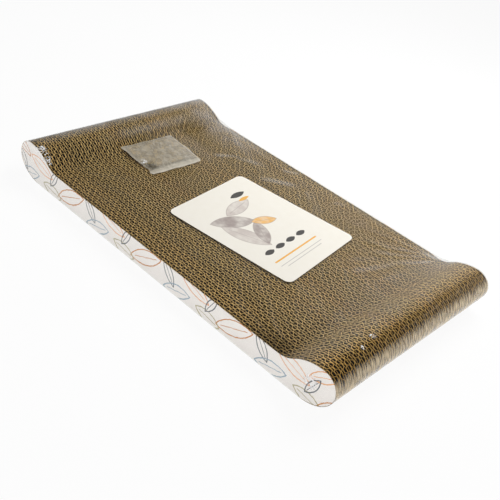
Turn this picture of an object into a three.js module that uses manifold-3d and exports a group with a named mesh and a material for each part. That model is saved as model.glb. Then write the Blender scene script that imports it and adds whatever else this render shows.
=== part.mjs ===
// Cat scratcher lounge: corrugated plies glued face to face into a low bed with a raised lobe at each end,
// printed papers on its two long sides, a shrink film round the block, a label on the film
// and a sachet of catnip under it.
import * as THREE from "three";
import { mergeVertices } from "three/addons/utils/BufferGeometryUtils.js";
import Module from "manifold-3d";

// Side outline of a ply, in millimetres, with X along the bed and Z up
const bodyLength = 442;
const bedThickness = 24.8;
const noseTipHeight = 24.8;
const noseRun = 33.5;
const noseTopRadius = 16.6;
const lobeInnerRadius = 46.5;
const hollowRadius = 26;

// Stack of double-wall plies across the width, with a printed paper on each outer face
const plyCount = 42;
const plyThickness = 5.75;
const glueLine = 0.2;
const printThickness = 0.4;

// Shrink film: an upper and a lower sheet that meet in a seam round the sides
const filmThickness = 0.25;
const filmGap = 0.3;
const filmHollowRadius = 60;
const filmSpanRadius = 240;
const filmBedLift = 1.2;
const seamHeight = 12.5;
const seamGap = 0.3;

// Label stuck on the film, turned a little as it was put on by hand
const labelLength = 151;
const labelWidth = 120;
const labelThickness = 0.3;
const labelCorner = 7;
const labelShiftX = 20;
const labelShiftY = 1;
const labelTurn = THREE.MathUtils.degToRad(7.3);

// Press-seal sachet that lies on the bed beside one lobe
const sachetLength = 59;
const sachetWidth = 71;
const sachetFilm = 0.2;
const sachetBulge = 2.4;
const sachetInset = 51.2;
const sachetShiftY = 1.3;
const sachetTurn = THREE.MathUtils.degToRad(-2.5);
const sachetTentReach = 26;
const zipInset = 8;
const zipWidth = 1.6;
const zipThickness = 0.4;
const zipEndMargin = 8;
const herbThickness = 1.9;
const herbRim = 0.2;
const herbEndMargin = 6;
const herbSideMargin = 7;

// Clearance between pieces that lie on each other
const layGap = 0.3;

// Facets of the curved stretches
const noseSteps = 7;
const noseTopSteps = 6;
const lobeSteps = 4;
const hollowSteps = 5;
const filmBedSteps = 16;
const filmWidthSteps = 12;
const pouchSteps = 10;
const herbSides = 24;
const herbSteps = 4;
const labelSamples = 12;
const labelCornerSteps = 5;

const halfLength = bodyLength / 2;
const lobeHeight = noseTipHeight + noseTopRadius;
const plyPitch = plyThickness + glueLine;
const stackWidth = plyCount * plyPitch - glueLine;
const printedWidth = stackWidth + 2 * (glueLine + printThickness);
const filmInsideWidth = printedWidth + 2 * filmGap;
const filmOutset = filmGap + filmThickness;
const bodyBase = filmOutset;

const rightAngle = Math.PI / 2;

// Materials
const kraftBoard = new THREE.MeshStandardMaterial({ color: 0x9a8150, roughness: 0.95, metalness: 0 });
const printedPaper = new THREE.MeshStandardMaterial({ color: 0xe6e3df, roughness: 0.7, metalness: 0 });
const labelPaper = new THREE.MeshStandardMaterial({ color: 0xfbf7ec, roughness: 0.6, metalness: 0 });
const driedHerb = new THREE.MeshStandardMaterial({ color: 0x7c7350, roughness: 0.95, metalness: 0 });
const clearFilm = new THREE.MeshStandardMaterial({
  color: 0xf2f4f5,
  roughness: 0.12,
  metalness: 0,
  transparent: true,
  opacity: 0.2,
});
const sachetPlastic = new THREE.MeshStandardMaterial({
  color: 0xd8d7d0,
  roughness: 0.2,
  metalness: 0,
  transparent: true,
  opacity: 0.35,
});

// Lobe circle, and the hollow circle that runs from it into a bed of the given height
function lobeAndHollow(outset, radius, bedHeight) {
  const lobe = {
    x: halfLength - noseTopRadius,
    z: lobeHeight - lobeInnerRadius,
    r: lobeInnerRadius + outset,
  };
  const rise = bedHeight + radius - lobe.z;
  const reach = Math.sqrt((lobe.r + radius) ** 2 - rise ** 2);
  const hollow = { x: lobe.x - reach, z: bedHeight + radius, r: radius };
  const joinX = lobe.x - (reach * lobe.r) / (lobe.r + radius);
  return { lobe, hollow, joinX, joinAngle: Math.atan2(rise, -reach) };
}

// Height of the upper outline at x, above the foot of the plies
function upperHeight(x, outset, radius, bedHeight) {
  const { lobe, hollow, joinX } = lobeAndHollow(outset, radius, bedHeight);
  const out = Math.abs(x);
  if (out <= hollow.x) return bedHeight;
  if (out <= joinX) return hollow.z - Math.sqrt(hollow.r ** 2 - (out - hollow.x) ** 2);
  return lobe.z + Math.sqrt(Math.max(lobe.r ** 2 - (out - lobe.x) ** 2, 0));
}

// Points of a closed side outline, set out from the plies' own by `outset`
function sideOutline(outset, radius, bedSteps) {
  const bedHeight = bedThickness + outset;
  const { lobe, hollow, joinAngle } = lobeAndHollow(outset, radius, bedHeight);
  const nose = { x: halfLength - noseRun, rx: noseRun + outset, rz: noseTipHeight + outset };
  const top = noseTopRadius + outset;
  const arc = (...sizes) => new THREE.EllipseCurve(...sizes);
  const right = [
    ...arc(nose.x, noseTipHeight, nose.rx, nose.rz, -rightAngle, 0).getPoints(noseSteps),
    ...arc(lobe.x, noseTipHeight, top, top, 0, rightAngle).getPoints(noseTopSteps).slice(1),
    ...arc(lobe.x, lobe.z, lobe.r, lobe.r, rightAngle, joinAngle).getPoints(lobeSteps).slice(1),
    ...arc(hollow.x, hollow.z, radius, radius, joinAngle - Math.PI, -rightAngle, true)
      .getPoints(hollowSteps).slice(1),
  ];
  const left = right.map((p) => new THREE.Vector2(-p.x, p.y)).reverse();
  const bed = [];
  for (let i = 1; i < bedSteps; i += 1) {
    bed.push(new THREE.Vector2(hollow.x * (1 - (2 * i) / bedSteps), bedHeight));
  }
  return [...right, ...bed, ...left];
}

// Side outline swept across the width, centred on Y = 0
function sweptOutline(points, width, steps) {
  const sweep = { depth: width, steps, bevelEnabled: false };
  const swept = new THREE.ExtrudeGeometry(new THREE.Shape(points), sweep);
  swept.rotateX(rightAngle);
  swept.translate(0, width / 2, 0);
  return swept;
}

// Moves each vertex of a geometry up by what `liftAt` gives for it
function lifted(geometry, liftAt) {
  const place = geometry.attributes.position;
  for (let i = 0; i < place.count; i += 1) {
    const [x, y, z] = [place.getX(i), place.getY(i), place.getZ(i)];
    place.setZ(i, z + liftAt(x, y, z));
  }
  return geometry;
}

// One closed mesh with shared vertices
function welded(geometry) {
  geometry.deleteAttribute("normal");
  geometry.deleteAttribute("uv");
  return mergeVertices(geometry);
}

const wasm = await Module();
wasm.setup();

// Solid of a closed geometry, for joining and cutting
function solidOf(geometry) {
  const closed = welded(geometry);
  return new wasm.Manifold(new wasm.Mesh({
    numProp: 3,
    vertProperties: new Float32Array(closed.attributes.position.array),
    triVerts: new Uint32Array(closed.index.array),
  }));
}

// Geometry of a solid that was joined or cut
function geometryOf(solid) {
  const mesh = solid.getMesh();
  const geometry = new THREE.BufferGeometry();
  geometry.setAttribute("position", new THREE.BufferAttribute(new Float32Array(mesh.vertProperties), 3));
  geometry.setIndex(new THREE.BufferAttribute(new Uint32Array(mesh.triVerts), 1));
  geometry.computeVertexNormals();
  return geometry;
}

const lounge = new THREE.Group();
lounge.name = "cat_scratcher_lounge";

function addPiece(parent, name, geometry, material) {
  const mesh = new THREE.Mesh(geometry, material);
  mesh.name = name;
  parent.add(mesh);
  return mesh;
}

// Plies and printed papers
const block = new THREE.Group();
block.position.z = bodyBase;
lounge.add(block);
const plyOutline = sideOutline(0, hollowRadius, 1);

for (let i = 0; i < plyCount; i += 1) {
  const number = String(i + 1).padStart(2, "0");
  const ply = addPiece(block, `ply_${number}`, sweptOutline(plyOutline, plyThickness, 1), kraftBoard);
  ply.position.y = (i - (plyCount - 1) / 2) * plyPitch;
}

for (const [name, side] of [["printed_paper_front", -1], ["printed_paper_back", 1]]) {
  const paper = addPiece(block, name, sweptOutline(plyOutline, printThickness, 1), printedPaper);
  paper.position.y = (side * (printedWidth - printThickness)) / 2;
}

// Sachet: back film, catnip, press-seal zip and front film, from its inner edge towards the lobe
const sachetRise = {
  back: layGap,
  inside: layGap + sachetFilm + layGap,
  front: layGap + sachetFilm + layGap + layGap,
};
const sachetStack = sachetRise.front + sachetBulge + sachetFilm;
const sachetInnerX = -(halfLength - sachetInset - sachetLength);
const sachetSwing = (sachetWidth / 2) * Math.abs(Math.sin(sachetTurn));
const sachetFarX = sachetInnerX - sachetLength * Math.cos(sachetTurn) - sachetSwing;
const sachetFarRise = upperHeight(sachetFarX, 0, hollowRadius, bedThickness) - bedThickness;

const sachet = new THREE.Group();
sachet.position.set(sachetInnerX, sachetShiftY, bodyBase + bedThickness);
sachet.rotation.set(0, Math.asin(sachetFarRise / sachetLength), sachetTurn, "ZYX");
lounge.add(sachet);

// Swell of the filled pouch at a point of its own plane
function pouchSwell(x, y) {
  const u = (2 * x) / sachetLength;
  const v = (2 * y) / sachetWidth;
  return sachetBulge * (1 - u * u) * (1 - v * v);
}

const backSheet = new THREE.BoxGeometry(sachetLength, sachetWidth, sachetFilm);
const sachetBack = addPiece(sachet, "sachet_back_film", welded(backSheet), sachetPlastic);
sachetBack.position.set(-sachetLength / 2, 0, sachetRise.back + sachetFilm / 2);

const frontSheet = new THREE.BoxGeometry(sachetLength, sachetWidth, sachetFilm, pouchSteps, pouchSteps, 1);
const sachetFront = addPiece(
  sachet, "sachet_front_film", welded(lifted(frontSheet, pouchSwell)), sachetPlastic);
sachetFront.position.set(-sachetLength / 2, 0, sachetRise.front + sachetFilm / 2);

const zipStrip = new THREE.BoxGeometry(zipWidth, sachetWidth - 2 * zipEndMargin, zipThickness);
const zip = addPiece(sachet, "sachet_zip", welded(zipStrip), sachetPlastic);
zip.position.set(-zipInset, 0, sachetRise.inside + zipThickness / 2);

const herbStart = zipInset + zipWidth / 2 + herbEndMargin;
const herbLength = sachetLength - herbStart - herbEndMargin;
const herbCrown = new THREE.EllipseCurve(0, herbRim, 1, herbThickness - herbRim, 0, rightAngle);
const herbHeap = new THREE.LatheGeometry([
  new THREE.Vector2(0, 0),
  new THREE.Vector2(1, 0),
  ...herbCrown.getPoints(herbSteps).slice(0, -1),
  new THREE.Vector2(0, herbThickness),
], herbSides);
herbHeap.rotateX(rightAngle);
herbHeap.scale(herbLength / 2, sachetWidth / 2 - herbSideMargin, 1);
const herb = addPiece(sachet, "catnip", welded(herbHeap), driedHerb);
herb.position.set(-herbStart - herbLength / 2, 0, sachetRise.inside);

// How far the film stands off the block, inside the line it keeps along the long edges
function filmRise(x, y) {
  const bedHeight = bedThickness + filmGap;
  const across = Math.max(1 - ((2 * y) / filmInsideWidth) ** 4, 0);
  const edge = upperHeight(x, filmGap, filmHollowRadius, bedHeight);
  const span = upperHeight(x, filmGap, filmSpanRadius, bedHeight + filmBedLift);
  const dx = (x - sachetInnerX + sachetLength / 2) / (sachetLength / 2 + sachetTentReach);
  const dy = (y - sachetShiftY) / (sachetWidth / 2 + sachetTentReach);
  const tent = sachetStack * Math.max(1 - dx * dx, 0) ** 2 * Math.max(1 - dy * dy, 0) ** 2;
  return across * (Math.max(span - edge, 0) + tent);
}

// Closed block of the film's inner or outer face
function filmBlock(outset, hollow, width) {
  const swept = sweptOutline(sideOutline(outset, hollow, filmBedSteps), width, filmWidthSteps);
  const lobeTopX = halfLength - noseTopRadius;
  const onTop = (x, z) => Math.abs(x) < lobeTopX && z > bedThickness;
  return solidOf(lifted(swept, (x, y, z) => (onTop(x, z) ? filmRise(x, y) : 0)));
}

// Box across the whole film between two heights
function filmSlice(low, high) {
  const slice = new THREE.BoxGeometry(2 * bodyLength, 2 * printedWidth, high - low);
  slice.translate(0, 0, (low + high) / 2);
  return solidOf(slice);
}

const filmOutsideWidth = filmInsideWidth + 2 * filmThickness;
const filmOutside = filmBlock(filmOutset, filmHollowRadius - filmThickness, filmOutsideWidth);
const filmInside = filmBlock(filmGap, filmHollowRadius, filmInsideWidth);
const filmShell = filmOutside.subtract(filmInside);
const seam = seamHeight - bodyBase;
const lowerSheet = filmShell.intersect(filmSlice(-bodyLength, seam - seamGap / 2));
const upperSheet = filmShell.intersect(filmSlice(seam + seamGap / 2, bodyLength));
addPiece(block, "wrap_film_lower", geometryOf(lowerSheet), clearFilm);
addPiece(block, "wrap_film_upper", geometryOf(upperSheet), clearFilm);

// Label, laid on the highest part of the film under it
function roundedRectangle(length, width, corner) {
  const [x, y] = [length / 2 - corner, width / 2 - corner];
  const shape = new THREE.Shape();
  shape.absarc(x, y, corner, 0, rightAngle);
  shape.absarc(-x, y, corner, rightAngle, 2 * rightAngle);
  shape.absarc(-x, -y, corner, 2 * rightAngle, 3 * rightAngle);
  shape.absarc(x, -y, corner, 3 * rightAngle, 4 * rightAngle);
  return shape;
}

function filmTopUnderLabel() {
  const middle = new THREE.Vector2(labelShiftX, labelShiftY);
  const size = new THREE.Vector2(labelLength, labelWidth);
  const hollow = filmHollowRadius - filmThickness;
  let top = 0;
  for (let i = 0; i <= labelSamples; i += 1) {
    for (let j = 0; j <= labelSamples; j += 1) {
      const at = new THREE.Vector2(i / labelSamples - 0.5, j / labelSamples - 0.5);
      at.multiply(size).add(middle).rotateAround(middle, labelTurn);
      const outer = upperHeight(at.x, filmOutset, hollow, bedThickness + filmOutset);
      top = Math.max(top, outer + filmRise(at.x, at.y));
    }
  }
  return top;
}

const labelPlate = new THREE.ExtrudeGeometry(
  roundedRectangle(labelLength, labelWidth, labelCorner),
  { depth: labelThickness, curveSegments: labelCornerSteps, bevelEnabled: false },
);
const label = addPiece(block, "label", welded(labelPlate), labelPaper);
label.position.set(labelShiftX, labelShiftY, filmTopUnderLabel() + layGap);
label.rotation.z = labelTurn;

export default lounge;
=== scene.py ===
"""Cat scratcher lounge: corrugated board, printed side papers, shrink film, label and catnip sachet.

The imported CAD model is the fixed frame. Every piece here stands for CAD nodes of that frame and is built
in millimetres, then scaled to metres, with its place in its mesh.
"""

import logging
import math
import random
from collections.abc import Callable, Iterable
from dataclasses import dataclass, field
from enum import Enum

import bmesh
import bpy
from mathutils import Matrix, Vector, noise


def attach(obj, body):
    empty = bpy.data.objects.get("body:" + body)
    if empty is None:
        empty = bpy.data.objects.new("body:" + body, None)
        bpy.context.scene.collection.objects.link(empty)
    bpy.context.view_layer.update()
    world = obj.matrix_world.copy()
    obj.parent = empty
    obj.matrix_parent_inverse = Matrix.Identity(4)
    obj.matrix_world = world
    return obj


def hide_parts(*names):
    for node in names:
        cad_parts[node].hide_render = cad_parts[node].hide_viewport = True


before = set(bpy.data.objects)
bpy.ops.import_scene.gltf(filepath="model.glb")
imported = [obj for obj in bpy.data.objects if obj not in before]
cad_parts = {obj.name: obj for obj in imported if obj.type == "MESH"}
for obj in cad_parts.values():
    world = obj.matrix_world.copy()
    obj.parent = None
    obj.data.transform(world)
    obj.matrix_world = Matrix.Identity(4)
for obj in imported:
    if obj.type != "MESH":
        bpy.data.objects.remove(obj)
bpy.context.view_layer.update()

log = logging.getLogger("lounge")

MM = 0.001
BODY = "root"

# The board's map: its tile in millimetres, the scale of depth on it, which the painted shade in the cells
# reads, and where the band for sawn edges starts and has its middle.
BOARD_MAP = "OFBake"
BOARD_TILE = 48.0
BOARD_DEPTH_SCALE = 0.9
BOARD_CUT_FROM = 0.9
BOARD_CUT_BAND = 0.955

# Attributes that the meshes carry and the finishes read.
# The board's tone attribute holds each ply's own tone together with its painted light and shade.
TONE = "tone"
WALL = "wall"
HAZE = "haze"

Colour = tuple[float, float, float, float]
Socket = bpy.types.NodeSocket
Value = Socket | float | tuple | Vector
Node = bpy.types.Node
Material = bpy.types.Material
Shape = bmesh.types.BMesh
Pair = tuple[float, float]
Line = list[Pair]


def srgb(red: int, green: int, blue: int) -> Colour:
    """Turns a display colour into the linear colour that shaders take.

    Args:
        red: Red, from 0 to 255.
        green: Green, from 0 to 255.
        blue: Blue, from 0 to 255.

    Returns:
        The linear colour, opaque.
    """
    def linear(level: int) -> float:
        """Gives one channel's linear level."""
        share = level / 255
        return share / 12.92 if share <= 0.04045 else ((share + 0.055) / 1.055) ** 2.4

    return (linear(red), linear(green), linear(blue), 1.0)


def smooth_step(value: float, low: float, high: float) -> float:
    """Eases from 0 at low to 1 at high.

    Args:
        value: Where to read the step.
        low: Where the step starts.
        high: Where the step ends.

    Returns:
        A share from 0 to 1.
    """
    share = min(max((value - low) / (high - low), 0.0), 1.0)
    return share * share * (3 - 2 * share)


def bell(value: float, middle: float, reach: float) -> float:
    """Gives 1 at the middle and falls softly to both sides, to about a third at the reach."""
    return math.exp(-(((value - middle) / reach) ** 2))


def ripple(x: float, y: float, z: float) -> float:
    """Gives smooth noise at a place, from about -1 to 1."""
    return noise.noise(Vector((x, y, z)))


class Slot(Enum):
    """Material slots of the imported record."""

    BOARD = "kraft_board"
    PRINT = "printed_paper"
    WRAP = "wrap_film"
    LABEL = "label_paper"
    SACHET = "sachet_film"
    HERB = "dried_herb"


class Side(Enum):
    """Long side of the bed, by the sign of Y."""

    FRONT = -1
    BACK = 1


class Rays(Enum):
    """Light Path outputs for rays that show the background as it is."""

    CAMERA = "Is Camera Ray"
    GLOSSY = "Is Glossy Ray"
    THROUGH = "Is Transmission Ray"


# Node trees


class NodeNet:
    """Adds nodes to one node tree, with sockets and plain values as inputs."""

    def __init__(self, tree: bpy.types.NodeTree) -> None:
        """Keeps the tree that nodes are added to."""
        self.tree = tree

    def add(self, kind: str, inputs: dict | None = None, **settings: object) -> Node:
        """Adds a node.

        Args:
            kind: Blender's name of the node type.
            inputs: Values or sockets by input name or index.
            settings: Properties of the node.

        Returns:
            The new node.
        """
        node = self.tree.nodes.new(kind)
        for name, setting in settings.items():
            setattr(node, name, setting)
        for key, value in (inputs or {}).items():
            self.feed(node.inputs[key], value)
        return node

    def feed(self, socket: Socket, value: Value) -> None:
        """Links a socket into an input, or sets the input to a plain value.

        Args:
            socket: The input.
            value: The socket or the plain value.
        """
        if isinstance(value, Socket):
            self.tree.links.new(value, socket)
        else:
            socket.default_value = value

    def math(self, operation: str, *values: Value, clamp: bool = False) -> Socket:
        """Adds a Math node.

        Args:
            operation: Blender's name of the operation.
            values: Its operands.
            clamp: Whether the result is kept from 0 to 1.

        Returns:
            The result.
        """
        inputs = dict(enumerate(values))
        return self.add("ShaderNodeMath", inputs, operation=operation, use_clamp=clamp).outputs[0]

    def vector(self, operation: str, *values: Value) -> Socket:
        """Adds a Vector Math node and returns its vector."""
        return self.add("ShaderNodeVectorMath", dict(enumerate(values)), operation=operation).outputs[0]

    def mix(self, factor: Value, first: Value, second: Value, blend: str = "MIX") -> Socket:
        """Adds a colour Mix node.

        Args:
            factor: Share of the second colour.
            first: Colour at 0.
            second: Colour at 1.
            blend: Blender's name of the blend.

        Returns:
            The mixed colour.
        """
        inputs = {0: factor, 6: first, 7: second}
        return self.add("ShaderNodeMix", inputs, data_type="RGBA", blend_type=blend).outputs[2]

    def step(self, value: Value, low: Value, high: Value, start: float = 0.0, end: float = 1.0) -> Socket:
        """Eases a value from start at low to end at high.

        Args:
            value: Value to read.
            low: Where the step starts.
            high: Where the step ends.
            start: Result at low.
            end: Result at high.

        Returns:
            The eased value.
        """
        inputs = {0: value, 1: low, 2: high, 3: start, 4: end}
        return self.add("ShaderNodeMapRange", inputs, interpolation_type="SMOOTHSTEP").outputs[0]

    def noise(self, vector: Value, scale: float, detail: float = 3.0, rough: float = 0.55) -> Socket:
        """Adds a Noise Texture.

        Args:
            vector: Place to read.
            scale: Waves for each unit of the vector.
            detail: Octaves.
            rough: Weight of each finer octave.

        Returns:
            The noise, about 0.5.
        """
        inputs = {"Vector": vector, "Scale": scale, "Detail": detail, "Roughness": rough}
        return self.add("ShaderNodeTexNoise", inputs).outputs[0]

    def millimetres(self) -> Socket:
        """Gives the Object coordinates in millimetres."""
        place = self.add("ShaderNodeTexCoord").outputs["Object"]
        return self.vector("MULTIPLY", place, (1 / MM, 1 / MM, 1 / MM))

    def turned(self, vector: Socket, centre: Iterable[float], angle: float) -> Socket:
        """Gives a place in a frame that is moved to a centre and turned about Z.

        Args:
            vector: Place to read.
            centre: Centre of the new frame.
            angle: Turn of the new frame, in radians.

        Returns:
            The place in the new frame.
        """
        inputs = {"Vector": vector, "Location": tuple(centre), "Rotation": (0, 0, angle)}
        return self.add("ShaderNodeMapping", inputs, vector_type="TEXTURE").outputs[0]

    def bump(self, height: Socket, strength: float, distance: float) -> Socket:
        """Adds a Bump node.

        Args:
            height: Height that it reads.
            strength: Share of the effect.
            distance: Height of a full step, in metres.

        Returns:
            The bumped normal.
        """
        inputs = {"Height": height, "Strength": strength, "Distance": distance}
        return self.add("ShaderNodeBump", inputs).outputs["Normal"]

    def separate(self, vector: Socket) -> list[Socket]:
        """Gives the three parts of a vector."""
        return list(self.add("ShaderNodeSeparateXYZ", {0: vector}).outputs)

    def combine(self, *parts: Value) -> Socket:
        """Joins up to three parts into a vector."""
        return self.add("ShaderNodeCombineXYZ", dict(enumerate(parts))).outputs[0]

    def group(self, tree: bpy.types.NodeTree, inputs: dict) -> Node:
        """Places a node group and feeds its inputs."""
        return self.add("ShaderNodeGroup", inputs, node_tree=tree)

    def away(self, value: Value, middle: Value) -> Socket:
        """Gives how far a value is from a middle one."""
        return self.math("ABSOLUTE", self.math("SUBTRACT", value, middle))

    def principled(self, colour: Value, rough: Value, normal: Socket, specular: float) -> Node:
        """Adds a Principled BSDF node."""
        inputs = {"Base Color": colour, "Roughness": rough, "Normal": normal}
        return self.add("ShaderNodeBsdfPrincipled", {**inputs, "Specular IOR Level": specular})

    def blend(self, share: Socket, first: Node, second: Node) -> Node:
        """Adds a Mix Shader node, with the share of the second shader."""
        return self.add("ShaderNodeMixShader", {0: share, 1: first.outputs[0], 2: second.outputs[0]})

    def show(self, shader: Node) -> None:
        """Sends a shader to the material's surface."""
        output = self.add("ShaderNodeOutputMaterial")
        self.feed(output.inputs["Surface"], shader.outputs[0])


def new_material(name: str) -> tuple[Material, NodeNet]:
    """Starts a material with an empty tree.

    Args:
        name: The material's name.

    Returns:
        The material and its net.
    """
    material = bpy.data.materials.new(name)
    material.use_nodes = True
    material.node_tree.nodes.clear()
    return material, NodeNet(material.node_tree)


@dataclass
class GroupMaker:
    """Makes one shader node group with named sockets."""

    name: str
    inputs: dict[str, str]
    outputs: dict[str, str]
    tree: bpy.types.NodeTree = field(init=False)
    net: NodeNet = field(init=False)
    source: Node = field(init=False)
    sink: Node = field(init=False)

    def __post_init__(self) -> None:
        """Makes the tree and its sockets."""
        self.tree = bpy.data.node_groups.new(self.name, "ShaderNodeTree")
        for way, sockets in (("INPUT", self.inputs), ("OUTPUT", self.outputs)):
            for label, kind in sockets.items():
                self.tree.interface.new_socket(name=label, in_out=way, socket_type="NodeSocket" + kind)
        self.net = NodeNet(self.tree)
        self.source = self.net.add("NodeGroupInput")
        self.sink = self.net.add("NodeGroupOutput")

    def get(self, label: str) -> Socket:
        """Gives one of the group's inputs."""
        return self.source.outputs[label]

    def put(self, label: str, value: Socket) -> None:
        """Feeds one of the group's outputs."""
        self.net.feed(self.sink.inputs[label], value)


class SharedEffects:
    """Effects that more than one finish uses, each built once as a node group."""

    def __init__(self) -> None:
        """Builds the groups."""
        self.fibre = self._fibre()
        self.creases = self._creases()
        self.leaf = self._leaf()

    def _fibre(self) -> bpy.types.NodeTree:
        """Makes paper fibre: a cloudy tone, short strands and the height of both.

        Returns:
            The group.
        """
        made = GroupMaker(
            "Paper fibre",
            {"Vector": "Vector", "Stretch": "Vector"},
            {"Cloud": "Float", "Strand": "Float", "Height": "Float"},
        )
        net = made.net
        cloud = net.noise(made.get("Vector"), scale=0.12, detail=2.0)
        along = net.vector("MULTIPLY", made.get("Vector"), made.get("Stretch"))
        strand = net.noise(along, scale=1.0, detail=4.0, rough=0.65)
        made.put("Cloud", cloud)
        made.put("Strand", strand)
        made.put("Height", net.math("MULTIPLY_ADD", strand, 0.8, net.math("MULTIPLY", cloud, 0.2)))
        return made.tree

    def _creases(self) -> bpy.types.NodeTree:
        """Makes stretched film: long faint streaks, fine crackle and the height of both.

        Returns:
            The group.
        """
        made = GroupMaker(
            "Film creases",
            {"Vector": "Vector", "Turn": "Float", "Length": "Float"},
            {"Streak": "Float", "Height": "Float"},
        )
        net = made.net
        place = made.get("Vector")
        turn = {"Vector": place, "Angle": made.get("Turn")}
        turned = net.add("ShaderNodeVectorRotate", turn, rotation_type="Z_AXIS").outputs[0]
        length = net.combine(net.math("DIVIDE", 1.0, made.get("Length")), 0.09, 0.09)
        drawn = net.vector("MULTIPLY", turned, length)
        wander = net.noise(turned, scale=0.012, detail=1.0)
        swayed = net.vector("ADD", drawn, net.combine(0.0, wander, wander))
        lines = net.noise(swayed, scale=1.0, rough=0.5)
        streak = net.step(net.away(lines, 0.5), low=0.0, high=0.05, start=1.0, end=0.0)
        patches = net.step(net.noise(place, scale=0.016, detail=2.0), low=0.46, high=0.66)
        made.put("Streak", net.math("MULTIPLY", streak, patches))
        fine = net.noise(place, scale=0.35, rough=0.5)
        made.put("Height", net.math("MULTIPLY_ADD", lines, 0.75, net.math("MULTIPLY", fine, 0.25)))
        return made.tree

    def _leaf(self) -> bpy.types.NodeTree:
        """Makes a leaf between two arcs: its drawn outline with a midrib, and its filled shape.

        Returns:
            The group.
        """
        made = GroupMaker(
            "Leaf mark",
            {"Vector": "Vector", "Half length": "Float", "Half breadth": "Float", "Line": "Float"},
            {"Outline": "Float", "Filled": "Float"},
        )
        net = made.net
        x, y, _ = net.separate(made.get("Vector"))
        length, breadth, line = made.get("Half length"), made.get("Half breadth"), made.get("Line")
        squares = net.math("ADD", net.math("POWER", length, 2.0), net.math("POWER", breadth, 2.0))
        radius = net.math("DIVIDE", squares, net.math("MULTIPLY", breadth, 2.0))
        offset = net.math("SUBTRACT", radius, breadth)
        beside = net.math("ABSOLUTE", y)
        height = net.math("ADD", beside, offset)
        reach = net.math("SQRT", net.math("MULTIPLY_ADD", x, x, net.math("POWER", height, 2.0)))
        edge = net.math("SUBTRACT", reach, radius)
        soft, thin = net.math("MULTIPLY", line, 1.5), net.math("MULTIPLY", line, 0.6)
        outline = net.step(net.math("ABSOLUTE", edge), line, soft, start=1.0, end=0.0)
        rib = net.step(beside, thin, line, start=1.0, end=0.0)
        short = net.math("LESS_THAN", net.math("ABSOLUTE", x), net.math("MULTIPLY", length, 0.72))
        made.put("Outline", net.math("MAXIMUM", outline, net.math("MULTIPLY", rib, short)))
        made.put("Filled", net.step(edge, low=-0.25, high=0.05, start=1.0, end=0.0))
        return made.tree


# Finishes


@dataclass(frozen=True)
class PaperGrain:
    """Grain of a paper: stretch of its fibres, roughness, and relief with its height in metres."""

    stretch: tuple[float, float, float]
    rough: Pair
    relief: float
    height: float
    specular: float

    def fibre(self, net: NodeNet, effects: SharedEffects, place: Socket) -> Node:
        """Places the fibre group on a paper."""
        return net.group(effects.fibre, {"Vector": place, "Stretch": self.stretch})

    def show(self, net: NodeNet, fibre: Node, colour: Socket) -> None:
        """Shows a colour with the paper's grain.

        Args:
            net: The paper's net.
            fibre: The paper's fibre group.
            colour: The paper's colour.
        """
        rough = net.step(fibre.outputs["Strand"], 0.2, 0.8, *self.rough)
        normal = net.bump(fibre.outputs["Height"], self.relief, self.height)
        net.show(net.principled(colour, rough, normal, self.specular))


@dataclass(frozen=True)
class KraftFinish:
    """Brown board: pale sawn edges, and papers with painted shade that darkens them down into the cells.
    """

    cut: Colour = srgb(247, 212, 145)
    cut_dark: Colour = srgb(214, 176, 110)
    # face is the papers' colour just under the cut; the colour after it is painted shade in the cells,
    # eased to from shade_from to shade_to millimetres down.
    face: Colour = srgb(124, 99, 57)
    deep: Colour = srgb(22, 17, 9)
    shade_from: float = 0.0
    shade_to: float = 1.5
    grain: PaperGrain = PaperGrain((2.6, 0.35, 1.0), (0.82, 0.98), 0.35, 0.0001, 0.2)

    def material(self, effects: SharedEffects) -> Material:
        """Makes the material, which reads the board's own map and its tone, which also carries painted
        light and shade.

        Args:
            effects: The shared groups.

        Returns:
            The material.
        """
        material, net = new_material("kraft_board_sawn")
        place = net.add("ShaderNodeUVMap", uv_map=BOARD_MAP).outputs[0]
        paper = net.vector("MULTIPLY", place, (BOARD_TILE, BOARD_TILE, BOARD_TILE))
        fibre = self.grain.fibre(net, effects, paper)
        down = net.separate(paper)[1]
        is_cut = net.math("GREATER_THAN", down, BOARD_TILE * BOARD_CUT_FROM)
        worn = net.step(fibre.outputs["Strand"], low=0.3, high=0.7)
        cut = net.mix(worn, self.cut_dark, self.cut)
        depth = net.math("DIVIDE", down, BOARD_DEPTH_SCALE)
        # Painted shade: the papers' faces darken with depth below the cut, down into the cells.
        face = net.mix(net.step(depth, self.shade_from, self.shade_to), self.face, self.deep)
        # The tone attribute multiplies in each ply's own tone and the painted light and shade by place.
        tone = net.add("ShaderNodeAttribute", attribute_name=TONE).outputs["Color"]
        board = net.mix(1.0, net.mix(is_cut, face, cut), tone, "MULTIPLY")
        self.grain.show(net, fibre, board)
        return material


@dataclass(frozen=True)
class LeafPrint:
    """One leaf of a printed design, in millimetres on the paper and degrees."""

    colour: Colour
    x: float
    y: float
    turn: float
    length: float
    breadth: float

    def mark(self, net: NodeNet, effects: SharedEffects, place: Socket, line: float) -> Node:
        """Places the leaf's mark.

        Args:
            net: The paper's net.
            effects: The shared groups.
            place: Place on the paper, in millimetres.
            line: Half the width of the drawn lines.

        Returns:
            The leaf's node, with its outline and its filled shape.
        """
        own = net.turned(place, (self.x, self.y, 0), math.radians(self.turn))
        sizes = {"Half length": self.length, "Half breadth": self.breadth, "Line": line}
        return net.group(effects.leaf, {"Vector": own, **sizes})


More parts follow.
